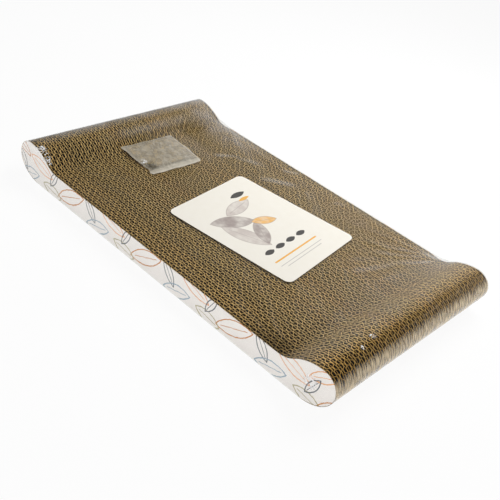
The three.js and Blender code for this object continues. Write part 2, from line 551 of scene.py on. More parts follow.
@dataclass(frozen=True)
class SidePaperFinish:
    """White paper printed with leaves in thin coloured lines."""

    name: str
    shift: float
    ground: Colour = srgb(251, 246, 245)
    ground_dark: Colour = srgb(243, 238, 236)
    period: float = 120.0
    line: float = 0.42
    ink: float = 0.95
    wobble: float = 1.6
    grain: PaperGrain = PaperGrain((0.5, 1.0, 1.4), (0.5, 0.68), 0.25, 0.00008, 0.35)
    whole: tuple[LeafPrint, ...] = (
        LeafPrint(srgb(198, 124, 18), 0.0, 15.0, 24.0, 23.0, 8.0),
        LeafPrint(srgb(64, 74, 86), 33.0, 19.0, -52.0, 14.0, 4.8),
        LeafPrint(srgb(168, 158, 110), -32.0, 5.0, -8.0, 16.0, 6.2),
        LeafPrint(srgb(232, 168, 112), -22.0, 36.0, 32.0, 16.0, 5.4),
    )
    half: tuple[LeafPrint, ...] = (
        LeafPrint(srgb(136, 162, 182), -14.0, 6.0, 14.0, 18.0, 6.6),
        LeafPrint(srgb(232, 168, 112), 8.0, 24.0, -16.0, 20.0, 6.6),
        LeafPrint(srgb(64, 74, 86), 30.0, 20.0, 62.0, 12.0, 4.2),
        LeafPrint(srgb(198, 124, 18), -26.0, 34.0, -30.0, 15.0, 5.0),
    )

    def material(self, effects: SharedEffects) -> Material:
        """Makes the material of one side's paper, with two sets of leaves that follow each other.

        Args:
            effects: The shared groups.

        Returns:
            The material.
        """
        material, net = new_material(self.name)
        place = net.millimetres()
        fibre = self.grain.fibre(net, effects, place)
        colour = net.mix(fibre.outputs["Cloud"], self.ground_dark, self.ground)
        x, _, z = net.separate(place)
        unsteady = net.noise(place, scale=0.3, detail=1.0)
        level = net.math("MULTIPLY_ADD", unsteady, self.wobble, net.math("SUBTRACT", z, self.wobble / 2))
        for leaves, shift in ((self.whole, 0.0), (self.half, self.period / 2)):
            moved = net.math("ADD", x, shift + self.shift)
            wrapped = net.math("WRAP", moved, self.period / 2, -self.period / 2)
            flat = net.combine(wrapped, level, 0.0)
            for leaf in leaves:
                mark = leaf.mark(net, effects, flat, self.line)
                inked = net.math("MULTIPLY", mark.outputs["Outline"], self.ink)
                colour = net.mix(inked, colour, leaf.colour)
        self.grain.show(net, fibre, colour)
        return material


class LabelInk(Enum):
    """Inks of the label's print."""

    MAUVE = srgb(160, 146, 142)
    MAUVE_PALE = srgb(205, 194, 187)
    CHARCOAL = srgb(58, 57, 58)
    ORANGE = srgb(243, 182, 84)
    GREY = srgb(196, 192, 186)


@dataclass(frozen=True)
class Rule:
    """One thin rule printed on the label, in millimetres in the label's own frame."""

    colour: Colour
    x: float
    y: float
    half_length: float
    half_width: float


@dataclass(frozen=True)
class LabelFinish:
    """Cream label with a plain leaf design, in the label's own frame: +X down it and +Y to its right."""

    centre: tuple[float, float, float]
    turn: float
    ground: Colour = srgb(250, 246, 236)
    ground_dark: Colour = srgb(246, 241, 229)
    grain: PaperGrain = PaperGrain((1.2, 1.2, 1.0), (0.42, 0.58), 0.2, 0.00005, 0.3)
    sprig: tuple[LeafPrint, ...] = (
        LeafPrint(LabelInk.MAUVE.value, -22, -22, 62, 25, 10),
        LeafPrint(LabelInk.MAUVE_PALE.value, 2, -30, 18, 27, 10),
        LeafPrint(LabelInk.MAUVE_PALE.value, -36, 4, 98, 22, 8.5),
        LeafPrint(LabelInk.MAUVE.value, 8, -12, -32, 20, 7.5),
        LeafPrint(LabelInk.ORANGE.value, -4, 8, 66, 15, 6.5),
    )
    sprig_line: float = 0.35
    sprig_fade: float = 0.55
    sprig_ink: float = 0.9
    sprig_edge: float = 0.5
    row: tuple[LeafPrint, ...] = (
        LeafPrint(LabelInk.CHARCOAL.value, 34, -34, 90, 7.5, 3.4),
        LeafPrint(LabelInk.CHARCOAL.value, 34, -16, 90, 7.5, 3.4),
        LeafPrint(LabelInk.CHARCOAL.value, 34, 2, 90, 7.5, 3.4),
        LeafPrint(LabelInk.CHARCOAL.value, 34, 20, 90, 7.5, 3.4),
        LeafPrint(LabelInk.CHARCOAL.value, -52, 24, 90, 12.0, 4.0),
        LeafPrint(LabelInk.ORANGE.value, -43, 24, 90, 9.0, 2.4),
    )
    row_line: float = 0.3
    row_ink: float = 0.94
    rules: tuple[Rule, ...] = (
        Rule(LabelInk.ORANGE.value, 48.0, -8.0, 36.0, 0.9),
        Rule(LabelInk.GREY.value, 55.0, -8.0, 36.0, 0.35),
        Rule(LabelInk.GREY.value, 59.0, -8.0, 30.0, 0.35),
    )

    def material(self, effects: SharedEffects) -> Material:
        """Makes the label's material.

        Args:
            effects: The shared groups.

        Returns:
            The material.
        """
        material, net = new_material("label_leaf_design")
        place = net.millimetres()
        fibre = self.grain.fibre(net, effects, place)
        own = net.turned(place, self.centre, self.turn)
        colour = net.mix(fibre.outputs["Cloud"], self.ground_dark, self.ground)
        colour = self._sprig(net, effects, own, colour)
        colour = self._row(net, effects, own, colour)
        colour = self._rules(net, own, colour)
        self.grain.show(net, fibre, colour)
        return material

    def _sprig(self, net: NodeNet, effects: SharedEffects, own: Socket, colour: Socket) -> Socket:
        """Paints a sprig of broad soft leaves over the middle of the label.

        Args:
            net: The label's net.
            effects: The shared groups.
            own: Place on the label.
            colour: Colour under the sprig.

        Returns:
            The colour with the sprig on it.
        """
        blotch = net.step(net.noise(own, scale=0.09), low=0.3, high=0.75)
        fade = net.math("MULTIPLY", blotch, self.sprig_fade)
        for leaf in self.sprig:
            mark = leaf.mark(net, effects, own, self.sprig_line)
            filled = net.math("MULTIPLY", mark.outputs["Filled"], self.sprig_ink)
            edge = net.math("MULTIPLY", mark.outputs["Outline"], self.sprig_edge)
            colour = net.mix(filled, colour, net.mix(fade, leaf.colour, self.ground))
            colour = net.mix(edge, colour, LabelInk.MAUVE.value)
        return colour

    def _row(self, net: NodeNet, effects: SharedEffects, own: Socket, colour: Socket) -> Socket:
        """Paints a row of dark leaves, and a dark and an orange one above.

        Args:
            net: The label's net.
            effects: The shared groups.
            own: Place on the label.
            colour: Colour under the leaves.

        Returns:
            The colour with the leaves on it.
        """
        for leaf in self.row:
            mark = leaf.mark(net, effects, own, self.row_line)
            filled = net.math("MULTIPLY", mark.outputs["Filled"], self.row_ink)
            colour = net.mix(filled, colour, leaf.colour)
        return colour

    def _rules(self, net: NodeNet, own: Socket, colour: Socket) -> Socket:
        """Paints thin rules under the row.

        Args:
            net: The label's net.
            own: Place on the label.
            colour: Colour under the rules.

        Returns:
            The colour with the rules on it.
        """
        x, y, _ = net.separate(own)
        for rule in self.rules:
            down = net.math("LESS_THAN", net.away(x, rule.x), rule.half_width)
            along = net.math("LESS_THAN", net.away(y, rule.y), rule.half_length)
            colour = net.mix(net.math("MULTIPLY", down, along), colour, rule.colour)
        return colour


@dataclass(frozen=True)
class Streak:
    """Painted reflection: a pale streak on the film over the bed, in millimetres."""

    start: Pair
    end: Pair
    half_width: float
    share: float


@dataclass(frozen=True)
class Crinkle:
    """Painted glint: a small patch of film painted white in thin threads, in millimetres."""

    at: tuple[float, float, float]
    reach: float


@dataclass(frozen=True)
class FilmFinish:
    """Clear film: more of a mirror at a slant and along creases, with painted reflection in pale strands
    round the noses and in white streaks and glints over the bed.
    """

    name: str
    tint: Colour = srgb(252, 252, 251)
    sheen: Colour = srgb(250, 251, 252)
    straight: float = 0.02
    mirror: float = 0.9
    bend: float = 3.5
    streak: float = 0.05
    rough: float = 0.12
    turn: float = 0.75
    length: float = 160.0
    bump: float = 0.18
    bump_height: float = 0.0006
    # Painted reflection round the noses: the film there is painted cream and white in strands, more of it
    # low down.
    cream: Colour = srgb(246, 226, 192)
    gathered: float = 0.76
    ragged: float = 3.4
    nose_x: Pair = (214.5, 221.0)
    under_x: Pair = (186.0, 200.0)
    under_z: Pair = (20.0, 27.0)
    foot_z: Pair = (12.0, 24.0)
    glint: float = 0.9
    glint_x: Pair = (190.0, 204.0)
    glint_z: Pair = (14.0, 29.0)
    whitest: float = 0.95
    # Painted reflections: pale streaks on the film over the bed, drawn as a diffuse white.
    streaks: tuple[Streak, ...] = (
        Streak((170.0, 120.0), (142.0, 66.0), 4.5, 0.14),
        Streak((145.0, 72.0), (119.0, 10.0), 6.5, 0.07),
        Streak((160.0, 64.0), (149.0, 22.0), 3.5, 0.06),
        Streak((128.0, 70.0), (106.0, 28.0), 7.0, 0.05),
        Streak((178.0, 123.0), (140.0, 113.0), 5.0, 0.14),
        Streak((-116.0, 54.0), (-95.0, 82.0), 5.5, 0.12),
        Streak((-102.0, 76.0), (-60.0, 97.0), 7.0, 0.08),
        Streak((-54.0, 66.0), (-8.0, 100.0), 8.0, 0.11),
        Streak((-51.0, 105.0), (-29.0, 121.0), 5.0, 0.1),
        Streak((16.0, 86.0), (-4.0, 97.0), 5.0, 0.06),
        Streak((44.0, 116.0), (28.0, 104.0), 5.0, 0.06),
        Streak((-211.0, -190.0), (-209.0, 230.0), 19.0, 0.15),
        Streak((-295.0, 119.0), (-60.0, 119.0), 46.0, 0.12),
        Streak((-183.0, -70.0), (-183.0, 190.0), 13.0, 0.07),
    )
    # Painted glints at the near end of the left lobe, on the right crest, on the front wall by the right
    # nose and by the sachet's corner.
    crinkles: tuple[Crinkle, ...] = (
        Crinkle((-191.0, -122.0, 41.0), 7.5),
        Crinkle((-182.0, -123.0, 37.0), 7.5),
        Crinkle((-175.5, -124.0, 33.0), 6.0),
        Crinkle((202.0, -57.0, 42.0), 4.4),
        Crinkle((206.0, -76.0, 42.0), 3.2),
        Crinkle((196.0, -126.0, 23.0), 9.0),
        Crinkle((-134.0, -29.0, 28.0), 5.5),
    )

    def material(self, effects: SharedEffects) -> Material:
        """Makes the film's material.

        Args:
            effects: The shared groups.

        Returns:
            The material.
        """
        material, net = new_material(self.name)
        place = net.millimetres()
        inputs = {"Vector": place, "Turn": self.turn, "Length": self.length}
        crease = net.group(effects.creases, inputs)
        normal = net.bump(crease.outputs["Height"], self.bump, self.bump_height)
        facing = net.add("ShaderNodeLayerWeight", {"Blend": 0.5, "Normal": normal}).outputs["Facing"]
        slant = net.math("POWER", facing, self.bend)
        base = net.math("MULTIPLY_ADD", slant, self.mirror, self.straight)
        creased = net.math("MULTIPLY_ADD", crease.outputs["Streak"], self.streak, base)
        gather, glint = self._gather(net, place), self._glint(net, place)
        # Painted reflection and painted glints: a diffuse cream-white is mixed into the film by these
        # shares.
        pale = net.math("MAXIMUM", gather, self._pale(net, place))
        white = net.mix(net.step(gather, low=0.0, high=0.2), self.sheen, self.cream)
        clear = net.add("ShaderNodeBsdfTransparent", {"Color": self.tint})
        sheen = {"Color": self.sheen, "Roughness": self.rough, "Normal": normal}
        gloss = net.add("ShaderNodeBsdfGlossy", sheen)
        milky = net.add("ShaderNodeBsdfDiffuse", {"Color": white})
        inside = net.add("ShaderNodeNewGeometry").outputs["Backfacing"]
        outside = net.math("SUBTRACT", 1.0, inside)
        film = clear
        for share, shader in ((creased, gloss), (pale, milky), (glint, gloss)):
            film = net.blend(net.math("MULTIPLY", share, outside), film, shader)
        net.show(film)
        return material

    def _off_walls(self, net: NodeNet) -> Socket:
        """Gives 0 on the film's side walls and 1 on the rest of it."""
        wall = net.add("ShaderNodeAttribute", attribute_name=WALL).outputs["Fac"]
        return net.math("SUBTRACT", 1.0, wall)

    def _strands(self, net: NodeNet, place: Socket, draw: float, squeeze: float, scale: float) -> Socket:
        """Gives noise in upright strands.

        Args:
            net: The film's net.
            place: Place on the film, in millimetres.
            draw: Tells one set of strands from another.
            squeeze: Share of the height that the noise reads.
            scale: Strands for each millimetre across them.

        Returns:
            The noise, about 0.5.
        """
        _, y, z = net.separate(place)
        drawn = net.combine(draw, y, net.math("MULTIPLY", z, squeeze))
        return net.noise(drawn, scale, rough=0.65)

    def _glint(self, net: NodeNet, place: Socket) -> Socket:
        """Gives the share of bare shine on the strands low on the noses.

        Args:
            net: The film's net.
            place: Place on the film, in millimetres.

        Returns:
            The share of shine at the place.
        """
        x, _, z = net.separate(place)
        strands = self._strands(net, place, draw=7.0, squeeze=0.07, scale=0.6)
        share = net.step(strands, low=0.4, high=0.6, end=self.glint)
        past = net.step(net.math("ABSOLUTE", x), *self.glint_x)
        low = net.math("MULTIPLY", net.step(z, *self.glint_z, start=1.0, end=0.0), past)
        return net.math("MULTIPLY", net.math("MULTIPLY", low, self._off_walls(net)), share)

    def _gather(self, net: NodeNet, place: Socket) -> Socket:
        """Gives the share of painted pale reflection where the film is drawn together round the noses, in
        upright strands.

        Args:
            net: The film's net.
            place: Place on the film, in millimetres.

        Returns:
            The share of cream at the place.
        """
        x, y, z = net.separate(place)
        ragged = net.noise(net.combine(0.0, y, 3.0), scale=0.5, rough=0.7)
        reach = net.math("SUBTRACT", net.math("ABSOLUTE", x), self.ragged / 2)
        out = net.math("MULTIPLY_ADD", ragged, self.ragged, reach)
        low = net.step(z, *self.under_z, start=1.0, end=0.0)
        under = net.math("MULTIPLY", low, net.step(out, *self.under_x))
        round_nose = net.math("MAXIMUM", net.step(out, *self.nose_x), under)
        strands = self._strands(net, place, draw=0.0, squeeze=0.09, scale=0.75)
        least, most = 0.12 * self.gathered, 1.3 * self.gathered
        share = net.step(strands, low=0.39, high=0.6, start=least, end=most)
        thick = net.math("MULTIPLY", share, net.step(z, *self.foot_z, start=1.3, end=1.0))
        on_board = net.math("MULTIPLY", round_nose, self._off_walls(net))
        return net.math("MULTIPLY", on_board, thick, clamp=True)

    def _pale(self, net: NodeNet, place: Socket) -> Socket:
        """Gives the share of painted white on the film: painted reflection in streaks over the bed, and
        painted glints in small patches.

        Args:
            net: The film's net.
            place: Place on the film, in millimetres.

        Returns:
            The share of white at the place.
        """
        total: Value = 0.0
        cloud = net.step(net.noise(place, scale=0.08), low=0.3, high=0.7, start=0.7, end=1.5)
        for streak in self.streaks:
            total = net.math("MULTIPLY_ADD", self._streak(net, place, streak), cloud, total)
        drawn = net.vector("MULTIPLY", place, (1.0, 0.5, 1.0))
        threads = net.away(net.noise(drawn, scale=0.42, detail=1.0), 0.5)
        thread = net.step(threads, low=0.025, high=0.06, start=1.0, end=0.0)
        # Painted glints: thin white threads round each patch.
        for patch in self.crinkles:
            away = net.add("ShaderNodeVectorMath", {0: place, 1: patch.at}, operation="DISTANCE")
            near = net.step(away.outputs["Value"], 0.4 * patch.reach, patch.reach, start=1.0, end=0.0)
            total = net.math("MULTIPLY_ADD", thread, near, total)
        return net.math("MINIMUM", total, self.whitest)

    def _streak(self, net: NodeNet, place: Socket, streak: Streak) -> Socket:
        """Gives one painted streak of reflection.

        Args:
            net: The film's net.
            place: Place on the film, in millimetres.
            streak: The streak.

        Returns:
            The share of white at the place.
        """
        start, end = Vector(streak.start), Vector(streak.end)
        run, middle = end - start, (start + end) / 2
        own = net.turned(place, (middle.x, middle.y, 0.0), math.atan2(run.y, run.x))
        along, across, _ = [net.math("ABSOLUTE", part) for part in net.separate(own)]
        half = run.length / 2
        ends = net.step(along, 0.3 * half, half, start=1.0, end=0.0)
        breadth = net.step(across, 0.0, streak.half_width, start=streak.share, end=0.0)
        return net.math("MULTIPLY", ends, breadth)


@dataclass(frozen=True)
class BagFinish:
    """Cloudy bag film with faint rubbed creases."""

    name: str
    cloud: Colour = srgb(230, 222, 208)
    tint: Colour = srgb(252, 250, 245)
    share: float = 0.13
    creased: float = 0.25
    rubbed: float = 0.18
    rough: float = 0.22
    turn: float = 0.4
    length: float = 60.0
    finer: float = 3.0

    def material(self, effects: SharedEffects) -> Material:
        """Makes the bag's material.

        Args:
            effects: The shared groups.

        Returns:
            The material.
        """
        material, net = new_material(self.name)
        place = net.millimetres()
        near = net.vector("MULTIPLY", place, (self.finer, self.finer, self.finer))
        crease = net.group(effects.creases, {"Vector": near, "Turn": self.turn, "Length": self.length})
        rubbed = net.step(net.noise(place, scale=0.14, detail=4.0), low=0.38, high=0.66, end=self.rubbed)
        extra = net.math("MULTIPLY_ADD", crease.outputs["Streak"], self.creased, rubbed)
        haze = net.add("ShaderNodeAttribute", attribute_name=HAZE).outputs["Fac"]
        share = net.math("ADD", net.math("ADD", extra, haze), self.share, clamp=True)
        normal = net.bump(crease.outputs["Height"], strength=0.4, distance=0.0005)
        clear = net.add("ShaderNodeBsdfTransparent", {"Color": self.tint})
        film = net.principled(self.cloud, self.rough, normal, specular=0.6)
        net.show(net.blend(share, clear, film))
        return material


@dataclass(frozen=True)
class HerbFinish:
    """Dried leaf crumbs: olive, tan and brown."""

    olive: Colour = srgb(158, 144, 102)
    tan: Colour = srgb(212, 190, 146)
    brown: Colour = srgb(116, 96, 62)

    def material(self) -> Material:
        """Makes the herb's material.

        Returns:
            The material.
        """
        material, net = new_material("dried_herb_crumbs")
        place = net.millimetres()
        crumbs = net.add("ShaderNodeTexVoronoi", {"Vector": place, "Scale": 0.8}).outputs["Color"]
        pick = net.separate(crumbs)[0]
        fine = net.noise(place, scale=1.6, detail=4.0)
        heaps = net.step(net.noise(place, scale=0.16), low=0.38, high=0.62, start=-0.22, end=0.16)
        green = net.step(net.math("ADD", pick, heaps), low=0.25, high=0.6)
        pale = net.step(net.math("ADD", fine, heaps), low=0.42, high=0.7)
        herb = net.mix(pale, net.mix(green, self.brown, self.olive), self.tan)
        rough = net.step(fine, low=0.2, high=0.8, start=0.8, end=0.98)
        normal = net.bump(fine, strength=0.6, distance=0.0006)
        net.show(net.principled(herb, rough, normal, specular=0.2))
        return material


# Shapes


@dataclass(frozen=True)
class SideOutline:
    """Side outline of the bed in millimetres, with X along it and Z up from the floor."""

    half_length: float = 221.0
    bed: float = 24.8
    tip: float = 24.8
    nose_run: float = 33.5
    nose_top: float = 16.6
    lobe_inner: float = 46.5
    hollow: float = 26.0
    base: float = 0.55
    half_width: float = 126.0
    drawn_in: Pair = (5.0, 6.5)
    drawn_x: Pair = (146.0, 190.0)
    drawn_y: float = -10.0

    def drawn(self, x: float, y: float) -> float:
        """Gives how far the film's pull draws a place in, at the back ends of the two lobes.

        Args:
            x: Place along the bed.
            y: Place across the bed.

        Returns:
            The change of y.
        """
        reach = self.drawn_in[0 if x < 0 else 1]
        return -reach * smooth_step(abs(x), *self.drawn_x) * smooth_step(y, self.drawn_y, self.half_width)

    @property
    def crest(self) -> float:
        """X of the lobe's highest line."""
        return self.half_length - self.nose_top

    def curve(self, outset: float, hollow: float, bed: float) -> tuple[Vector, float, Vector, float]:
        """Finds the lobe's circle and the hollow's circle that runs from it into the bed.

        Args:
            outset: How far the lobe stands out from the board's own.
            hollow: Radius of the hollow.
            bed: Height of the bed above the plies' foot.

        Returns:
            The lobe's centre as (x, z) and its radius, the hollow's centre, and X of where they join.
        """
        lobe = Vector((self.crest, self.tip + self.nose_top - self.lobe_inner))
        radius = self.lobe_inner + outset
        rise = bed + hollow - lobe.y
        reach = math.sqrt((radius + hollow) ** 2 - rise**2)
        low = Vector((lobe.x - reach, bed + hollow))
        join = lobe.x - reach * radius / (radius + hollow)
        return lobe, radius, low, join

    def inner(self, x: float, outset: float, hollow: float, bed: float) -> float:
        """Gives the height of bed, hollow and lobe above the plies' foot.

        Args:
            x: Place along the bed.
            outset: How far the lobe stands out from the board's own.
            hollow: Radius of the hollow.
            bed: Height of the bed.

        Returns:
            The height at x.
        """
        lobe, radius, low, join = self.curve(outset, hollow, bed)
        out = abs(x)
        if out <= low.x:
            return bed
        if out <= join:
            return low.y - math.sqrt(hollow**2 - (out - low.x) ** 2)
        return lobe.y + math.sqrt(max(radius**2 - (out - lobe.x) ** 2, 0.0))

    def top(self, x: float) -> float:
        """Gives the board's upper height.

        Args:
            x: Place along the bed.

        Returns:
            The height from the floor.
        """
        out = abs(x) - self.crest
        if out <= 0:
            return self.base + self.inner(x, 0.0, self.hollow, self.bed)
        return self.base + self.tip + math.sqrt(max(self.nose_top**2 - out**2, 0.0))

    def foot(self, x: float, outset: float = 0.0) -> float:
        """Gives the lower height of the board, or of a film round it.

        Args:
            x: Place along the bed.
            outset: How far the film stands out from the board.

        Returns:
            The height from the floor.
        """
        out = max(abs(x) - (self.half_length - self.nose_run), 0.0) / (self.nose_run + outset)
        rise = math.sqrt(max(1 - out**2, 0.0)) * (self.tip + outset)
        return self.base + self.tip - rise


@dataclass(frozen=True)
class SheetPlace:
    """Place and size of a sheet that lies on the bed, in millimetres, and its turn in radians."""

    x: float
    y: float
    length: float
    width: float
    turn: float


LABEL_PLACE = SheetPlace(19.8, 1.6, 152.0, 120.4, math.radians(7.3))
SACHET_PLACE = SheetPlace(-140.3, 1.3, 59.0, 71.0, math.radians(-2.5))

# Edges of a sheet that turn by more than this, in radians, stay crisp.
CRISP_ANGLE = 0.6


@dataclass
class Piece:
    """One finished piece: its mesh, its finish and the CAD nodes that it stands for."""

    name: str
    shape: Shape
    material: Material
    slot: Slot
    nodes: tuple[str, ...]
    smooth: bool = False

    def place(self) -> None:
        """Makes the object, in metres, and lets it ride on the part's body."""
        bmesh.ops.scale(self.shape, vec=Vector((MM, MM, MM)), verts=self.shape.verts)
        for face in self.shape.faces:
            face.smooth = self.smooth
        mesh = bpy.data.meshes.new(self.name)
        self.shape.to_mesh(mesh)
        self.shape.free()
        mesh.materials.append(self.material)
        made = bpy.data.objects.new(self.name, mesh)
        bpy.context.scene.collection.objects.link(made)
        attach(made, BODY)
        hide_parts(*self.nodes)
        log.info("%s: %d faces, stands for %s", self.name, len(mesh.polygons), ", ".join(self.nodes))


def stations(end: float, steps: tuple[Pair, ...]) -> list[float]:
    """Gives places from one end of the bed to the other.

    Args:
        end: X of the last place. The first is its mirror image.
        steps: Pairs of a reach from the middle and the step within it, from the nearest to the widest.

    Returns:
        The places along X.
    """
    places, x = [], -end
    while x < end:
        places.append(x)
        x += next(step for reach, step in steps if abs(x) < reach)
    return [*places, end]


def mirrored(half: Line) -> Line:
    """Gives a whole line from its right half, with one point more in the middle."""
    return [*half, (0.0, half[-1][1]), *((-x, z) for x, z in reversed(half))]


def add_grid(shape: Shape, columns: int, rows: int, place: Callable[[int, int], Vector]) -> list:
    """Adds a grid and moves each of its points.

    Args:
        shape: Mesh that gets the grid.
        columns: Faces along it.
        rows: Faces across it.
        place: Gives the place of the point at a column and a row.

    Returns:
        The grid's faces.
    """
    made = bmesh.ops.create_grid(shape, x_segments=columns, y_segments=rows, size=1.0)
    for point in made["verts"]:
        column = round((point.co.x + 1) / 2 * columns)
        row = round((point.co.y + 1) / 2 * rows)
        point.co = place(column, row)
    return list({face for point in made["verts"] for face in point.link_faces})


def rounded_sheet(length: float, width: float, corner: float, step: float) -> Shape:
    """Makes a flat sheet with rounded corners, cut into a grid.

    Args:
        length: Size along X.
        width: Size along Y.
        corner: Radius of the corners.
        step: Size of the grid's faces.

    Returns:
        The sheet, centred on the origin.
    """
    shape = bmesh.new()
    bmesh.ops.create_grid(shape, x_segments=1, y_segments=1, size=0.5)
    bmesh.ops.scale(shape, vec=Vector((length, width, 1)), verts=shape.verts)
    bmesh.ops.bevel(
        shape, geom=shape.verts[:], offset=corner, offset_type="OFFSET", affect="VERTICES", segments=8,
        profile=0.5, material=-1,
    )
    for axis, size in ((Vector((1, 0, 0)), length), (Vector((0, 1, 0)), width)):
        count = round(size / step)
        for number in range(1, count):
            at = axis * (number / count - 0.5) * size
            everything = shape.verts[:] + shape.edges[:] + shape.faces[:]
            bmesh.ops.bisect_plane(shape, geom=everything, plane_co=at, plane_no=axis, dist=1e-5)
    return shape


def thicken(shape: Shape, thickness: float) -> None:
    """Gives a sheet its thickness, half of it to each side, with faces outwards and a crisp rim.

    Args:
        shape: The sheet's mesh.
        thickness: The sheet's thickness.
    """
    bmesh.ops.recalc_face_normals(shape, faces=shape.faces[:])
    shape.normal_update()
    for point in shape.verts:
        point.co -= point.normal * (thickness / 2)
    bmesh.ops.solidify(shape, geom=shape.faces[:], thickness=-thickness)
    bmesh.ops.recalc_face_normals(shape, faces=shape.faces[:])
    for edge in shape.edges:
        edge.smooth = edge.calc_face_angle(0.0) < CRISP_ANGLE


# Sub-assemblies


@dataclass(frozen=True)
class BoardTone:
    """Tone of the board from place to place, in shares and millimetres: each ply's own random tone, with
    painted light and shade by place.
    """

    light: Pair = (0.86, 1.06)
    warm: float = 0.03
    plain: float = 0.97
    # Painted light: the board is painted paler towards the +X end.
    slope: float = 0.0004
    # Painted highlight on the crests, and painted shade on the noses past them.
    crest: float = 0.12
    crest_in: Pair = (178.0, 194.0)
    crest_out: Pair = (198.0, 205.0)
    nose: float = 0.32
    nose_in: Pair = (202.0, 211.0)
    # Painted shadow along the front edge by the +X hollow, and painted shade in that hollow.
    dip: float = 0.5
    dip_at: Pair = (148.0, 30.0)
    dip_front: Pair = (92.0, 118.0)
    hollow: float = 0.1
    hollow_at: Pair = (159.0, 10.0)
    # Painted golden highlight from the +X crest over its nose.
    gold_in: Pair = (192.0, 209.0)
    gold_green: float = 0.1
    gold_blue: float = 0.36

    def dress(self, shape: Shape, chance: random.Random) -> None:
        """Gives a ply its own tone of brown, with painted light and shade by place and a painted golden
        highlight at one nose.

        Args:
            shape: The ply's mesh.
            chance: The ply's random draws.
        """
        layer = shape.faces.layers.float_color.new(TONE)
        light = chance.uniform(*self.light)
        warm = chance.uniform(-self.warm, self.warm)
        for face in shape.faces:
            x, y, _ = face.calc_center_median()
            # gold is the painted golden highlight towards the +X nose.
            shade, gold = light * self._wear(x, y), smooth_step(x, *self.gold_in)
            green = shade * (1 - self.gold_green * gold)
            blue = shade * (1 - warm) * (1 - self.gold_blue * gold)
            face[layer] = (shade * (1 + warm), green, blue, 1.0)

    def _wear(self, x: float, y: float) -> float:
        """Gives the board's painted light and shade: painted highlights on the crests, painted shade on
        the noses, one end painted paler, a painted shadow by the front edge and painted shade in the
        hollow.

        Args:
            x: Place along the bed.
            y: Place across the bed.

        Returns:
            The lightness, about 1.
        """
        # Painted highlight on the crests, painted shadow by the front edge, painted shade in the hollow
        # and on the noses.
        crest = smooth_step(abs(x), *self.crest_in) - smooth_step(abs(x), *self.crest_out)
        dip = smooth_step(-y, *self.dip_front) * bell(x, *self.dip_at)
        hollow = bell(x, *self.hollow_at)
        nose = smooth_step(abs(x), *self.nose_in)
        light = self.plain + self.slope * x + self.crest * crest
        return light - self.nose * nose - self.dip * dip - self.hollow * hollow


